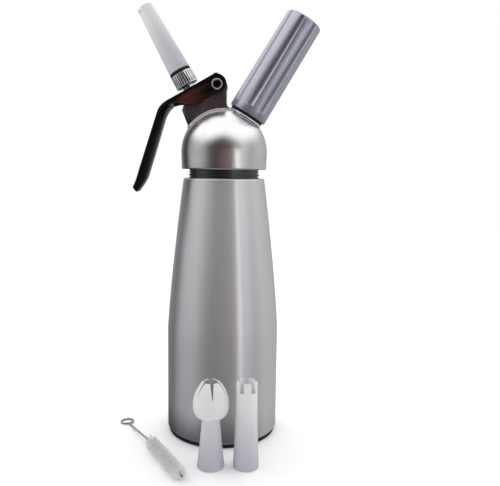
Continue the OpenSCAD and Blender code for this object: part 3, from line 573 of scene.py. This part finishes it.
def bracket_footprint(margin):
    """The bracket's plan, with round left corners, stood up along the valve and cut off upright
    on its right, where its foot flares out to the gas port."""
    half, round_radius = bracket_half + margin, bracket_corner + margin
    left = bracket_left - margin + round_radius
    plan = ([(40, -half), (40, half)] + arc((left, half - round_radius), round_radius, 90, 180, 12)
            + arc((left, round_radius - half), round_radius, 180, 270, 12))
    side_x = bracket_side_x + margin
    foot = dome_height + saddle_radius + margin
    right = pulled((side_x, foot + 4), (side_x, foot - 0.6), (side_x + bracket_toe, foot - 2.2), 8)
    keep = prism([(-80, dome_height), (side_x + bracket_toe, dome_height)] + right[::-1]
                 + [(side_x, 400), (-80, 400)], -60, 60, on_edge)
    return carved(prism(plan, 20, 60, valve_place), keep, "INTERSECT")


dome_shape = turned(
    arc((0, dome_height), cavity_radius, 90, 3.5, 40)
    + [(skirt_bore, gasket_seat), (skirt_bore, skirt_foot + 0.6)]
    + arc((skirt_bore + 0.6, skirt_foot + 0.6), 0.6, 180, 270, 4)
    + arc((skirt_radius - 0.9, skirt_foot + 0.9), 0.9, -90, 0, 6)
    + [(skirt_radius + 0.12, skirt_foot + 4), (skirt_radius + 0.25, skirt_foot + 8)]
    + arc((0, dome_height), dome_radius, 0, 90, 72), steps=192)
boss = turned([(0, 20), (boss_radius - 1.3, 20), (boss_radius - 1.3, boss_face - 1.15)]
              + arc((boss_radius - 0.1, boss_face - 1.05), 0.1, -90, 0, 2)
              + arc((boss_radius - 0.75, boss_face - 0.75), 0.75, 0, 90, 6) + [(0, boss_face)], steps=128)
bmesh.ops.transform(boss, matrix=gas_place, verts=boss.verts)
saddle = carved(bracket_footprint(saddle_margin), ball(saddle_radius, upright), "INTERSECT")
eased(saddle, width=0.9,
      where=lambda middle: (middle - Vector((0, 0, dome_height))).length > saddle_radius - 0.4)
carved(dome_shape, saddle, "UNION")
carved(dome_shape, rod(boss_radius, boss_face, 60, gas_place))
carved(dome_shape, boss, "UNION")
carved(dome_shape, rod(valve_bore, 10, 60, valve_place))
carved(dome_shape, rod(port_bore, 10, 60, gas_place))
added(dome_shape, screw_ridge(skirt_screw_root, skirt_screw_crest, foot=skirt_screw_foot, **head_screw))

satin_aluminium, tree, shader = material("satin_aluminium")
blasted = noise(tree, 5.0, 2.0)
turning = noise(tree, 1.0, 2.0, placed(tree, (0.05, 0.05, 5)))
bump(shader, blend(0.8, blasted, turning), 0.012)
from_middle = add(tree, "VectorMath", {0: placed(tree), 1: (0, 0, dome_height)}, operation="DISTANCE")
proud_of_the_dome = spread(from_middle.outputs[1], dome_radius + 0.12, dome_radius + 0.3)
above_the_skirt = spread(own_axes(tree)[2], dome_height + 4, dome_height + 5)
rim_highlight = times(proud_of_the_dome, above_the_skirt)
cloudy = noise(tree, 0.12, 3.0)
blasted_tone = ramp(cloudy, [(0.3, (0.80, 0.795, 0.79)), (0.7, (0.90, 0.895, 0.89))])
# Painted highlight: the rims' colour is near-white and less metallic; they are also smoother.
feed(shader, "Base Color", mixed(rim_highlight, blasted_tone, (0.95, 0.95, 0.95, 1)))
feed(shader, "Metallic", spread(rim_highlight, 0, 1, 1.0, 0.45))
blasted_gloss = spread(blasted, 0.25, 0.75, 0.25, 0.31)
feed(shader, "Roughness", sums("SUBTRACT", blasted_gloss, times(rim_highlight, 0.12)))

dome = finished("domed_head", dome_shape, satin_aluminium, sharp_deg=28)
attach(dome, "head")
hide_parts("head_dome")

# ---- Lever's bracket ----
# A gunmetal-grey zinc casting clamped on the saddle by the valve's nut. Its underside is
# hollowed to the dome, and its two ears carry the lever's pin.

pin_u = 18.5
pin_a = 42.6
pin_radius = 2.6
pin_place = valve_place @ moved(pin_u, 0, pin_a) @ on_edge
bracket_floor = 34.9
bracket_top = 40.5
ear_radius = 5.5
ear_gap = 6.6
ear_lug_radius = 8.1
nut_seat_radius = 6.95

ear_front = (pin_u - 0.86 * ear_radius - 3, bracket_top + 1.2)
bracket_side = (
    [(bracket_left, 20), (bracket_left, 29)]
    + [(-11.5, bracket_top - 1.1), (-8.5, bracket_top + 1.2), ear_front]
    + arc((pin_u, pin_a), ear_radius, 150, 84, 6) + arc((pin_u, pin_a), ear_lug_radius, 80, 58, 4)
    + arc((pin_u, pin_a), ear_radius, 54, 0, 6) + [(pin_u + 30, pin_a - 10), (pin_u + 30, 20)])
bracket_shape = carved(bracket_footprint(0), prism(bracket_side, -9, 9, valve_place @ on_edge), "INTERSECT")
carved(bracket_shape, ball(saddle_radius, upright))
carved(bracket_shape, block((-4, -ear_gap, bracket_floor + 2), (60, ear_gap, 90), valve_place))
carved(bracket_shape, block((-30, -ear_gap, bracket_top), (60, ear_gap, 90), valve_place))
carved(bracket_shape, rod(nut_seat_radius, bracket_floor, 90, valve_place))
carved(bracket_shape, rod(valve_bore, 10, 90, valve_place))
carved(bracket_shape, rod(pin_radius + 0.05, -20, 20, pin_place))
eased(bracket_shape, width=0.4)

gunmetal, tree, shader = material("gunmetal", Metallic=1.0)
grain = noise(tree, 3.5, 3.0)
bump(shader, grain, 0.02)
specks = [(0.35, (0.23, 0.205, 0.24)), (0.62, (0.30, 0.27, 0.31)), (0.78, (0.40, 0.37, 0.41))]
feed(shader, "Base Color", ramp(noise(tree, 1.6, 4.0), specks))
gloss(shader, grain, 0.32, 0.42)

bracket = finished("lever_saddle", bracket_shape, gunmetal)
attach(bracket, "head")
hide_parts("lever_bracket")

# ---- Valve ----
# Turned steel parts and rubber seals: a sleeve and its nut clamp the bracket on the dome, and
# the hollow stem slides in the sleeve, held up by a spring under its flange.

turned_steel, tree, shader = material("turned_steel", Metallic=1.0)
turning = lathe_lines(shader, depth_mm=0.002, finest_mm=0.12, place=valve_place)
gloss(shader, turning, 0.15, 0.30)
feed(shader, "Base Color", ramp(turning, [(0.3, (0.54, 0.54, 0.56)), (0.7, (0.70, 0.70, 0.70))]))
dress(["valve_sleeve", "sleeve_nut", "valve_stem", "seal_nut", "valve_spring"], turned_steel)
dress(["charger_port", "piercing_pin"], turned_steel)
dress(["stem_seal_ring", "valve_seal", "charger_seal", "check_valve"], black_rubber)

# ---- Lever ----
# Die-cast zinc with a glossy black chrome skin. A slotted plate and two cheeks straddle the
# bracket and the stem, and a round-edged arm bends down to a tip that kicks outwards.

lever_top = 49.9
plate_thickness = 2
cheek_inside = 8.9
cheek_outside = 10.7
cheek_end_radius = 6.8
arm_start = -15
arm_root = arm_start - 1.5
arm_half_width = 8.1
arm_slims_within = 12
arm_taper = 0.6
bend_back = -18.64
bend_radius = 14
arm_angle_deg = 42.6
slot_half = 4.9
nose_radius = 2
nose_height = 48.5
nose_middle_y = 5.55
nose_half = 0.65

cheek_side = (
    [(arm_start - 3, lever_top)] + arc((pin_u, lever_top - cheek_end_radius), cheek_end_radius, 90, -52, 18)
    + [(20.5, 37.5)] + pulled((7, 37.6), (-2.6, 37.6), (-7.5, 42.5), 7)
    + pulled((-7.5, 42.5), (-10.2, 45.2), (arm_start, 46.1), 6)[1:] + [(arm_start - 3, 46.25)])
lever_shape = prism(cheek_side, -cheek_outside, cheek_outside, on_edge)
carved(lever_shape, block((arm_start, -cheek_inside, 0), (60, cheek_inside, lever_top - plate_thickness)))
carved(lever_shape, block((pin_u - 6.7, -cheek_inside, 0), (60, cheek_inside, 80)))
stem_slot = arc((1.5, 0), slot_half, -90, 90, 16) + arc((-1.5, 0), slot_half, 90, 270, 16)
carved(lever_shape, prism(stem_slot, 30, 80))
carved(lever_shape, rod(pin_radius + 0.05, -20, 20, moved(pin_u, 0, pin_a) @ on_edge))
eased(lever_shape, width=0.45, where=lambda middle: middle.x > arm_start - 2.5)


def grown(rings):
    """A closed skin drawn from ring to ring: each ring is extruded and put in its new place."""
    shape = bmesh.new()
    column = shape.verts.layers.int.new("column")
    ring = [shape.verts.new(point) for point in rings[0]]
    for number, vert in enumerate(ring):
        vert[column] = number
    edges = [shape.edges.new(pair) for pair in zip(ring, ring[1:] + ring[:1])]
    for places in rings[1:]:
        risen = bmesh.ops.extrude_edge_only(shape, edges=edges)["geom"]
        for vert in (item for item in risen if isinstance(item, bmesh.types.BMVert)):
            vert.co = places[vert[column]]
        edges = [item for item in risen if isinstance(item, bmesh.types.BMEdge)
                 and all(vert in risen for vert in item.verts) and item.is_boundary]
    bmesh.ops.holes_fill(shape, edges=shape.edges, sides=0)
    bmesh.ops.recalc_face_normals(shape, faces=shape.faces)
    return shape


def rounded_section(outer, inner, half_width, crown):
    """A ring round the arm: a bar from its outer to its inner line, with crowned sides."""
    (x0, z0), (x1, z1) = outer, inner
    points = []
    for side, first_deg in ((1, -90), (-1, 90)):
        for out, down in arc((0, 0.5), 0.5, first_deg, first_deg + 180, 12):
            across = side * (half_width - crown) + 2 * crown * out
            points.append((x0 + (x1 - x0) * down, across, z0 + (z1 - z0) * down))
    return points


outer_line = ([(arm_root, lever_top - 0.01)]
              + arc((bend_back, lever_top - bend_radius), bend_radius, 90, 90 + arm_angle_deg, 10)
              + [(-38.0, 37.10), (-49.0, 26.98)] + pulled((-59.0, 17.79), (-63.4, 13.2), (-68.6, 9.6), 6))
inner_line = ([(arm_root, 46.2)] + pulled((bend_back, 45.5), (-22.6, 44.0), (-26.4, 40.2), 10)
              + [(-36.0, 30.9), (-46.5, 20.9)] + pulled((-56.0, 12.0), (-59.4, 9.0), (-68.0, 5.4), 6))
arm_rings = []
for number, (outer, inner) in enumerate(zip(outer_line, inner_line)):
    run = min(max((arm_root - outer[0]) / arm_slims_within, 0), 1)
    slimmer = (cheek_outside - arm_half_width) * run + arm_taper * number / len(outer_line)
    arm_rings.append(rounded_section(outer, inner, cheek_outside - 0.01 - slimmer, 0.4 + 0.5 * run))
arm = grown(arm_rings)
eased(arm, width=0.5, where=lambda middle: middle.x < -67)
carved(lever_shape, arm, "UNION")
for side in (-1, 1):
    nose_place = moved(0, side * nose_middle_y, nose_height) @ on_edge
    carved(lever_shape, rod(nose_radius, -nose_half, nose_half, nose_place, sides=32), "UNION")


def marked(tree, attribute):
    """A value that finished or eased has kept on the mesh."""
    return add(tree, "Attribute", attribute_name=attribute).outputs["Fac"]


# The base colour is painted bronze on the left part of the cheeks, below the plate, as a
# painted reflection of a warm-coloured thing in the room.
black_chrome, tree, shader = material("black_chrome", Metallic=0.9, Specular_Tint=(0.30, 0.27, 0.27, 1),
                                      Coat_Weight=0.35, Coat_Roughness=0.06)
along_lever = own_axes(tree)[0]
warm_reflection_share = times(spread(along_lever, -35, -28), spread(along_lever, -10, -26))
warm_reflection_share = times(warm_reflection_share, spread(marked(tree, "rise"), 49.5, 45.5))
painted_warm_reflection = ramp(warm_reflection_share, [(0.0, (0.032, 0.028, 0.030)), (1.0, (0.21, 0.095, 0.065))])
feed(shader, "Base Color", painted_warm_reflection)
gloss(shader, noise(tree, 0.25, 4.0), 0.10, 0.18)
bump(shader, noise(tree, 0.8, 2.0), 0.02)

lever = finished("squeeze_lever", lever_shape, black_chrome, valve_place)
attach(lever, "lever")
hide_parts("lever")

# ---- Lever's pin and clip ----
# A hollow-headed steel rivet pin through both cheeks and both ears. A spring clip sits in the
# groove at its far end.

cheek_reach = cheek_outside + 0.3
clip_groove = pin_radius - 0.6
pin_shape = turned(
    [(0, -cheek_reach - 1.5), (pin_radius - 0.4, -cheek_reach - 1.5), (pin_radius, -cheek_reach - 1.1),
     (pin_radius, -cheek_reach - 0.9), (clip_groove, -cheek_reach - 0.9), (clip_groove, -cheek_reach),
     (pin_radius, -cheek_reach), (pin_radius, cheek_reach), (3.6, cheek_reach)]
    + arc((3.35, cheek_reach + 0.5), 0.5, -30, 150, 10)
    + [(2.6, cheek_reach + 0.35), (2.2, cheek_reach - 0.2), (2.0, cheek_reach - 1.2),
       (2.0, cheek_reach - 9), (0, cheek_reach - 9)], steps=96)

bored_steel, tree, shader = material("bored_steel", Metallic=1.0)
wear = noise(tree, 1.2, 3.0)
ring_tone = ramp(wear, [(0.3, (0.66, 0.66, 0.68)), (0.7, (0.88, 0.88, 0.88))])
# Painted shade: the bore in the pin's head is coloured near-black.
down_the_hole = spread(marked(tree, "rise"), cheek_reach + 0.2, cheek_reach - 0.4)
feed(shader, "Base Color", mixed(down_the_hole, ring_tone, (0.035, 0.03, 0.03, 1)))
gloss(shader, wear, 0.10, 0.22)

pin = finished("rivet_pin", pin_shape, bored_steel, pin_place, sharp_deg=30)
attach(pin, "head")
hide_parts("lever_pin")
dress(["pin_clip"], turned_steel)

# ---- Ribbed collar ----
# Chromed brass, screwed on the stem: straight ribs for the fingers, a plain lip above and
# below them, and the spigot for the tips inside.

collar_foot = 53.1
collar_height = 9.5
collar_radius = 7.95
lip_radius = 7.85
groove_radius = 7.25
collar_ribs = 28
spigot_top = 71.1
spigot_radius = 5.2
collar_bore = 3.95
stem_bore = 2.4
stem_seat = 60.1


def round_collar(rib_radius, groove, height):
    """A ring round the collar: it is as wide as rib_radius on the ribs, and narrower between."""
    points = []
    for rib in range(collar_ribs):
        for share, radius in ((0.0, groove), (0.14, groove), (0.3, groove), (0.42, rib_radius),
                              (0.57, rib_radius), (0.72, rib_radius), (0.88, rib_radius)):
            angle = math.tau * (rib + share) / collar_ribs
            points.append((radius * math.cos(angle), radius * math.sin(angle), height))
    return points


def lip(radius, height):
    """A plain round ring with as many points as a ribbed one."""
    return round_collar(radius, radius, height)


collar_top = collar_foot + collar_height
collar_shape = grown(
    [lip(collar_bore, collar_foot), lip(groove_radius, collar_foot), lip(lip_radius, collar_foot + 0.2),
     lip(lip_radius, collar_foot + 0.6), round_collar(collar_radius, groove_radius, collar_foot + 0.9),
     round_collar(collar_radius, groove_radius, collar_top - 0.9), lip(lip_radius, collar_top - 0.6),
     lip(lip_radius, collar_top - 0.2), lip(groove_radius, collar_top), lip(spigot_radius, collar_top),
     lip(spigot_radius, spigot_top - 0.5), lip(spigot_radius - 0.5, spigot_top), lip(stem_bore, spigot_top),
     lip(stem_bore, stem_seat), lip(collar_bore, stem_seat)])


def from_axis(tree, place):
    """Distance from a place's own Z axis, in millimetres."""
    flattened = placed(tree, (1, 1, 0), place)
    return add(tree, "VectorMath", {0: flattened}, operation="LENGTH").outputs[1]


# The grooves between the ribs are dull and dark, as no light gets down to them.
chrome, tree, shader = material("chrome", Metallic=0.72)
on_a_rib = spread(from_axis(tree, valve_place), groove_radius + 0.05, collar_radius - 0.1)
feed(shader, "Base Color", mixed(on_a_rib, (0.03, 0.03, 0.03, 1), (0.90, 0.90, 0.90, 1)))
feed(shader, "Roughness", spread(noise(tree, 0.6, 4.0), 0.3, 0.75, 0.05, 0.16))
bump(shader, noise(tree, 1.5, 2.0), 0.006)

collar = finished("ribbed_collar", collar_shape, chrome, valve_place, sharp_deg=30)
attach(collar, "valve")
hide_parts("tip_adapter")

# ---- Fitted tip and its seal ----
# The straight tip is moulded in milky white plastic, with a notch in its rounded mouth. It
# screws down on a black rubber ring.

tip_seal_foot = 62.9
ring_height = 1.6


def rubber_ring(bore, radius, outer_round, bore_round=0.3):
    """A flat ring with rounded edges."""
    inside, outside = bore + bore_round, radius - outer_round
    return turned(arc((inside, bore_round), bore_round, 180, 270, 3)
                  + arc((outside, outer_round), outer_round, -90, 0, 4)
                  + arc((outside, ring_height - outer_round), outer_round, 0, 90, 4)
                  + arc((inside, ring_height - bore_round), bore_round, 90, 180, 3), ring=True)


seal_ring = rubber_ring(bore=5.5, radius=7.75, outer_round=0.35)
tip_ring = finished("tip_ring", seal_ring, black_rubber, valve_place @ moved(0, 0, tip_seal_foot))
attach(tip_ring, "tip_seal")
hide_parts("tip_seal")

tip_foot = 64.8
tip_length = 49.7
tip_base_radius = 7.6
tip_mouth_radius = 5.5
tip_outlet = 4
socket_radius = 5.5
socket_depth = 8.5
socket = [(socket_radius, socket_depth), (socket_radius, 0.4), (socket_radius + 0.4, 0)]
mouth_round = 1.3
notch_turn_deg = 215
notch_half = 1.7
notch_floor = 2.4
tip_taper = ((4, 0.12), (10, 0.35), (20, 0.78), (30, 1.2), (40, 1.65))

tip_shape = turned(
    arc((tip_base_radius - 0.4, 0.4), 0.4, -90, 0, 4)
    + [(tip_base_radius - drawn_in, height) for height, drawn_in in tip_taper]
    + arc((tip_mouth_radius - mouth_round, tip_length - mouth_round), mouth_round, 4, 90, 8)
    + arc((tip_outlet + 0.2, tip_length - 0.2), 0.2, 90, 180, 2)
    + [(tip_outlet, tip_length - 8), (tip_outlet + 0.6, tip_length - 12), (socket_radius - 0.2, 11.5)]
    + socket, ring=True)
notch_place = rotated(notch_turn_deg, "Z") @ moved(0, 0, tip_length - notch_floor)
notch = prism([(0, -notch_half), (20, -notch_half), (20, notch_half), (0, notch_half)], 0, 10, notch_place)
carved(notch, rod(notch_half, 0, 20, notch_place @ rotated(90, "Y")), "UNION")
carved(tip_shape, notch)
eased(tip_shape, width=0.2, where=lambda middle: middle.z > tip_length - 5)

# The plastic's colour is painted greyer towards the foot as painted shade, and palest at the
# mouth as painted light; a soft random flow varies it a little.
milky_plastic, tree, shader = material("milky_plastic", IOR=1.49)
flow = noise(tree, 0.12, 3.0, placed(tree, (1, 1, 0.3)))
up_the_tip = plus(spread(marked(tree, "rise"), 0, 52), times(flow, 0.12))
shaded_foot_to_lit_mouth = ramp(up_the_tip, [(0.03, (0.52, 0.515, 0.575)), (0.55, (0.64, 0.62, 0.665)),
                                        (1.0, (0.77, 0.76, 0.765))])
feed(shader, "Base Color", shaded_foot_to_lit_mouth)
bump(shader, noise(tree, 1.0, 1.0), 0.003)
gloss(shader, noise(tree, 0.4, 3.0), 0.32, 0.44)

tip = finished("straight_tip", tip_shape, milky_plastic, valve_place @ moved(0, 0, tip_foot))
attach(tip, "tip")
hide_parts("tip_nozzle")

# ---- Gas port's ring and gas bulb ----
# A soft black ring fills the joint between the boss and the holder. The zinc-plated steel
# bulb sits out of sight in the holder.

ring_gap = 0.02

joint_ring = rubber_ring(bore=9.95, radius=12.3, outer_round=0.4)
gas_ring = finished("gas_ring", joint_ring, black_rubber, gas_place @ moved(0, 0, boss_face + ring_gap))
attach(gas_ring, "head")
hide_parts("port_ring")

zinc_plate, tree, shader = material("zinc_plate", Metallic=1.0)
spangle = noise(tree, 0.8, 3.0)
feed(shader, "Base Color", ramp(spangle, [(0.3, (0.48, 0.50, 0.54)), (0.7, (0.64, 0.66, 0.68))]))
gloss(shader, spangle, 0.24, 0.4)
dress(["gas_charger"], zinc_plate)

# ---- Gas bulb holder ----
# An extruded and turned aluminium cup, anodised a dull lavender grey. Eight round-bottomed
# flutes start square a little above its mouth and run out through the closed end.

holder_foot = 31.3
holder_length = 75.9
holder_radius = 13.8
holder_end_radius = 13.1
flute_count = 8
flute_radius = 6
flute_depth = 1.1
flute_start = 6
flute_turn_deg = -7.5
end_round = 1.4
holder_mouth_round = 0.5
land_columns = 8
flute_columns = 12


def fluted(height, radius, cut=True):
    """A ring round the holder: lands on the full radius, and flutes sunk into it by a round cutter."""
    centre = holder_radius + flute_radius - flute_depth
    meet = (radius ** 2 + centre ** 2 - flute_radius ** 2) / (2 * radius * centre)
    half_flute = math.acos(min(meet, 1))
    half_land = math.pi / flute_count - half_flute
    points = []
    for number in range(flute_count):
        middle = math.radians(flute_turn_deg + 360 / flute_count * number)
        for column in range(flute_columns + 1):
            angle = half_flute * (2 * column / flute_columns - 1)
            sunk = centre * math.cos(angle) - math.sqrt(flute_radius ** 2 - (centre * math.sin(angle)) ** 2)
            size = min(radius, sunk) if cut else radius
            points.append((size * math.cos(middle + angle), size * math.sin(middle + angle), height))
        for column in range(1, land_columns):
            angle = middle + half_flute + 2 * half_land * column / land_columns
            points.append((radius * math.cos(angle), radius * math.sin(angle), height))
    return points


def holder_radius_at(height):
    """The holder's radius: straight near its mouth, then drawn in a little to its end."""
    share = max(height - flute_start + 2, 0) / (holder_length - flute_start + 2)
    return holder_radius + (holder_end_radius - holder_radius) * share


bulb_bore = 9.5
holder_thread_radius = 10.9
thread_end = 11.0
bore_end = 72.9
plain_rim = ([(holder_thread_radius + 0.4, 0)]
             + arc((holder_radius - holder_mouth_round, holder_mouth_round), holder_mouth_round, -90, 0, 3)
             + [(holder_radius, flute_start - 2), (holder_radius_at(flute_start), flute_start)])
fluted_side = [(holder_radius_at(height), height)
               for height in (flute_start, 20, 32, 44, 56, 68, holder_length - end_round)]
end_middle = (holder_end_radius - end_round, holder_length - end_round)
fluted_end = [arc(end_middle, end_round, turn_deg, turn_deg, 1)[0] for turn_deg in (22, 45, 68, 90)]
holder_shape = grown([fluted(height, radius, cut=False) for radius, height in plain_rim]
                     + [fluted(height, radius) for radius, height in fluted_side + fluted_end])
carved(holder_shape, rod(bulb_bore, -5, bore_end, sides=96))
carved(holder_shape, rod(holder_thread_radius, -5, thread_end, sides=96))
eased(holder_shape, width=0.42, sharper_than_deg=25, segments=2,
      where=lambda middle: middle.z > 1 and Vector(middle.xy).length > 12, bright=True)
added(holder_shape, screw_ridge(root_radius=10.15, crest_radius=11.3, root_width=0.81, crest_width=1.38,
                                pitch=3, turns=1.75, foot=3.5))

# The skin's colour is painted darker in the flutes as painted shade, and painted near-white
# on their rounded edges as a painted highlight.
lavender_anodised, tree, shader = material("lavender_anodised", Metallic=0.78)
extruded = noise(tree, 2.2, 2.0, placed(tree, (1, 1, 0.03), gas_place))
mottle = noise(tree, 0.5, 4.0)
skin = ramp(blend(0.5, extruded, mottle), [(0.36, (0.45, 0.455, 0.53)), (0.64, (0.54, 0.545, 0.62))])
flute_floor = holder_radius - flute_depth
flute_painted_shade = spread(from_axis(tree, gas_place), flute_floor + 0.35, flute_floor + 0.1)
# Painted shade in the flutes; painted highlight on the marked edges below.
skin = mixed(flute_painted_shade, skin, (0.28, 0.29, 0.37, 1))
feed(shader, "Base Color", mixed(marked(tree, "edge"), skin, (0.97, 0.97, 1.0, 1)))
gloss(shader, mottle, 0.28, 0.38)
bump(shader, noise(tree, 1.2, 1.0), 0.003)

holder = finished("fluted_holder", holder_shape, lavender_anodised,
                  gas_place @ moved(0, 0, holder_foot), sharp_deg=24)
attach(holder, "holder")
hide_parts("charger_holder")

# ---- Tulip tip ----
# A spare tip in the same milky plastic, standing on its foot. Its bulb-shaped head is slit
# from the top into six petals, which lean in to its open mouth.

tulip_place = moved(-4.3, -63.7, 0)
tulip_foot = 8.8
tulip_waist = 5.9
tulip_waist_height = 32.5
tulip_head = 11.6
tulip_head_height = 41.5
tulip_height = 56.8
tulip_mouth = 5.8
tulip_wall = 1.3
tulip_hollow = tulip_head - tulip_wall
petal_count = 6
petal_turn_deg = 9
slit_foot = 48
slit_half = 0.12
slit_half_at_top = 1.1

tulip_outside = (
    arc((tulip_foot - 0.5, 0.5), 0.5, -90, 0, 4)
    + pulled((tulip_foot, 1.5), (tulip_foot - 1.6, 14), (tulip_waist, tulip_waist_height - 2.5), 12)
    + arc((tulip_waist + 0.7, tulip_waist_height), 0.7, 180, 100, 4)
    + pulled((tulip_waist + 1.6, tulip_waist_height + 0.9), (tulip_head, tulip_waist_height + 2.6),
             (tulip_head, tulip_head_height), 12)
    + pulled((tulip_head, tulip_head_height), (tulip_head, tulip_head_height + 8.2),
             (tulip_mouth, tulip_height - 0.1), 20)[1:]
    + [(tulip_mouth - 0.2, tulip_height)])
tulip_inside = (
    pulled((tulip_mouth - tulip_wall, tulip_height), (tulip_hollow, tulip_head_height + 7.6),
           (tulip_hollow, tulip_head_height), 14)
    + pulled((tulip_hollow, tulip_head_height), (tulip_hollow, tulip_waist_height + 3.6),
             (tulip_waist - tulip_wall, tulip_waist_height + 1), 8)[1:]
    + [(tulip_waist - tulip_wall, socket_depth + 4)] + socket)
tulip_shape = turned(tulip_outside + tulip_inside, ring=True)
slit = [(-slit_half, slit_foot), (slit_half, slit_foot),
        (slit_half_at_top, tulip_height + 0.1), (-slit_half_at_top, tulip_height + 0.1)]
for number in range(petal_count // 2):
    turn_deg = petal_turn_deg + 360 / petal_count * number
    carved(tulip_shape, prism(slit, -30, 30, rotated(turn_deg, "Z") @ on_edge))
eased(tulip_shape, width=0.25, sharper_than_deg=50, segments=2, where=lambda middle: middle.z > slit_foot)

tulip = finished("petal_tip", tulip_shape, milky_plastic, tulip_place)
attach(tulip, "tulip_tip")
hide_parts("tulip_tip")
tulip.visible_glossy = False  # the photo's bottle mirrors neither of the spare tips

# ---- Star tip ----
# The other spare tip, in the same plastic. Five deep square notches leave five teeth round
# its mouth.

star_place = moved(18.6, -63.1, 0)
star_foot = 8.4
star_mouth = 6.7
star_height = 57.2
star_wall = 1.3
tooth_count = 5
front_tooth_deg = -85
notch_depth = 6.7
notch_width = 3.5

star_shape = turned(
    arc((star_foot - 0.5, 0.5), 0.5, -90, 0, 4)
    + pulled((star_foot, 1.5), (star_foot - 0.9, 18), (star_mouth + 0.3, star_height - 22), 12)
    + [(star_mouth, star_height - 0.7)] + arc((star_mouth - 0.6, star_height - 0.6), 0.6, 10, 90, 4)
    + [(star_mouth - star_wall, star_height), (star_mouth - star_wall, socket_depth + 4)] + socket,
    ring=True)
for number in range(tooth_count):
    facing = rotated(front_tooth_deg + 360 / tooth_count * (number + 0.5), "Z")
    notch = block((0, -notch_width / 2, star_height - notch_depth), (30, notch_width / 2, 90), facing)
    carved(star_shape, notch)
eased(star_shape, width=0.2, sharper_than_deg=50, segments=2,
      where=lambda middle: middle.z > star_height - notch_depth - 0.5)

star = finished("notched_tip", star_shape, milky_plastic, star_place)
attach(star, "star_tip")
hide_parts("star_tip")
star.visible_glossy = False

# ---- Cleaning brush: wire ----
# Two soft steel wires twisted round each other, bent into a ring for hanging. The twist grips
# the bristles, and its end stands out a little past them.

brush_place = moved(-71.9, 3.1, 0) @ rotated(-60, "Z")
loop_radius = 4.35
loop_wire = 0.62
wire_lies_at = 0.75
strand_radius = 0.4
strand_offset = 0.34
twist_pitch = 5.5
stem_end = 49.1
brush_axis_height = 4.9
bristles_end = 101.1
wire_end = 103.6
strand_sides = 8
steps_per_mm = 2


def wire_height(x):
    """Height of the twisted wire's middle: it rises from the table to the middle of the bristles."""
    share = min(max((x - loop_radius) / (stem_end - loop_radius), 0), 1)
    return wire_lies_at + (brush_axis_height - wire_lies_at) * share ** 1.1


wire_shape = turned(arc((loop_radius, 0), loop_wire, 0, 330, 11), steps=64, ring=True)
bmesh.ops.translate(wire_shape, vec=(0, 0, wire_lies_at), verts=wire_shape.verts)
for half_turn in (0, math.pi):
    strand = []
    for step in range(round((wire_end - loop_radius + 0.4) * steps_per_mm) + 1):
        x = loop_radius - 0.4 + step / steps_per_mm
        twist = math.tau * x / twist_pitch + half_turn
        middle = (strand_offset * math.cos(twist), wire_height(x) + strand_offset * math.sin(twist))
        strand.append([(x, y, z) for y, z in arc(middle, strand_radius, 0, 315, strand_sides - 1)])
    added(wire_shape, grown(strand))

dark_wire, tree, shader = material("dark_wire", Metallic=1.0)
tarnish = noise(tree, 0.5, 4.0)
feed(shader, "Base Color", ramp(tarnish, [(0.35, (0.22, 0.22, 0.225)), (0.68, (0.58, 0.58, 0.59))]))
gloss(shader, tarnish, 0.14, 0.28)
bump(shader, noise(tree, 3.0, 2.0), 0.01)

wire = finished("twisted_wire", wire_shape, dark_wire, brush_place)
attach(wire, "brush")
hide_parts("brush_wire")

# ---- Cleaning brush: bristles ----
# Clear white nylon filaments. The twist holds each by its middle, so they stand out both ways
# and turn with it, and the table presses the lowest ones up a little.

tuft_count = 50
tuft_filaments = 16
filament_radius = 0.15
bristle_reach = 5.15
scatter_deg = 17
lean_deg = 8
chance = random.Random(7)
tuft_length = (bristles_end - stem_end - 0.8) / tuft_count

bristle_shape = bmesh.new()
for tuft_number in range(tuft_count):
    tuft = bmesh.new()
    for filament in range(tuft_filaments * 2):
        x = stem_end + 0.4 + tuft_length * (tuft_number + chance.random())
        angle = 360 * x / twist_pitch + 180 * (filament % 2) + chance.uniform(-scatter_deg, scatter_deg)
        facing = rotated(angle, "X") @ rotated(chance.uniform(-lean_deg, lean_deg), "Y")
        reach = bristle_reach * chance.uniform(0.84, 1)
        downward = -facing.col[2].z
        if downward > 0.5:
            reach = min(reach, (brush_axis_height - 0.15) / downward)
        bmesh.ops.create_cone(tuft, segments=3, radius1=filament_radius, radius2=filament_radius * 0.8,
                              depth=reach, cap_ends=True,
                              matrix=moved(x, 0, brush_axis_height) @ facing @ moved(0, 0, reach / 2))
    added(bristle_shape, tuft)

clear_nylon, tree, shader = material("clear_nylon", Transmission_Weight=0.1, IOR=1.5)
cloudy = noise(tree, 0.35, 3.0)
feed(shader, "Base Color", ramp(cloudy, [(0.3, (0.86, 0.865, 0.88)), (0.7, (0.96, 0.96, 0.965))]))
gloss(shader, noise(tree, 1.0), 0.25, 0.45)

bristles = finished("nylon_bristles", bristle_shape, clear_nylon, brush_place, sharp_deg=60)
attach(bristles, "brush")
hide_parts("brush_bristles")
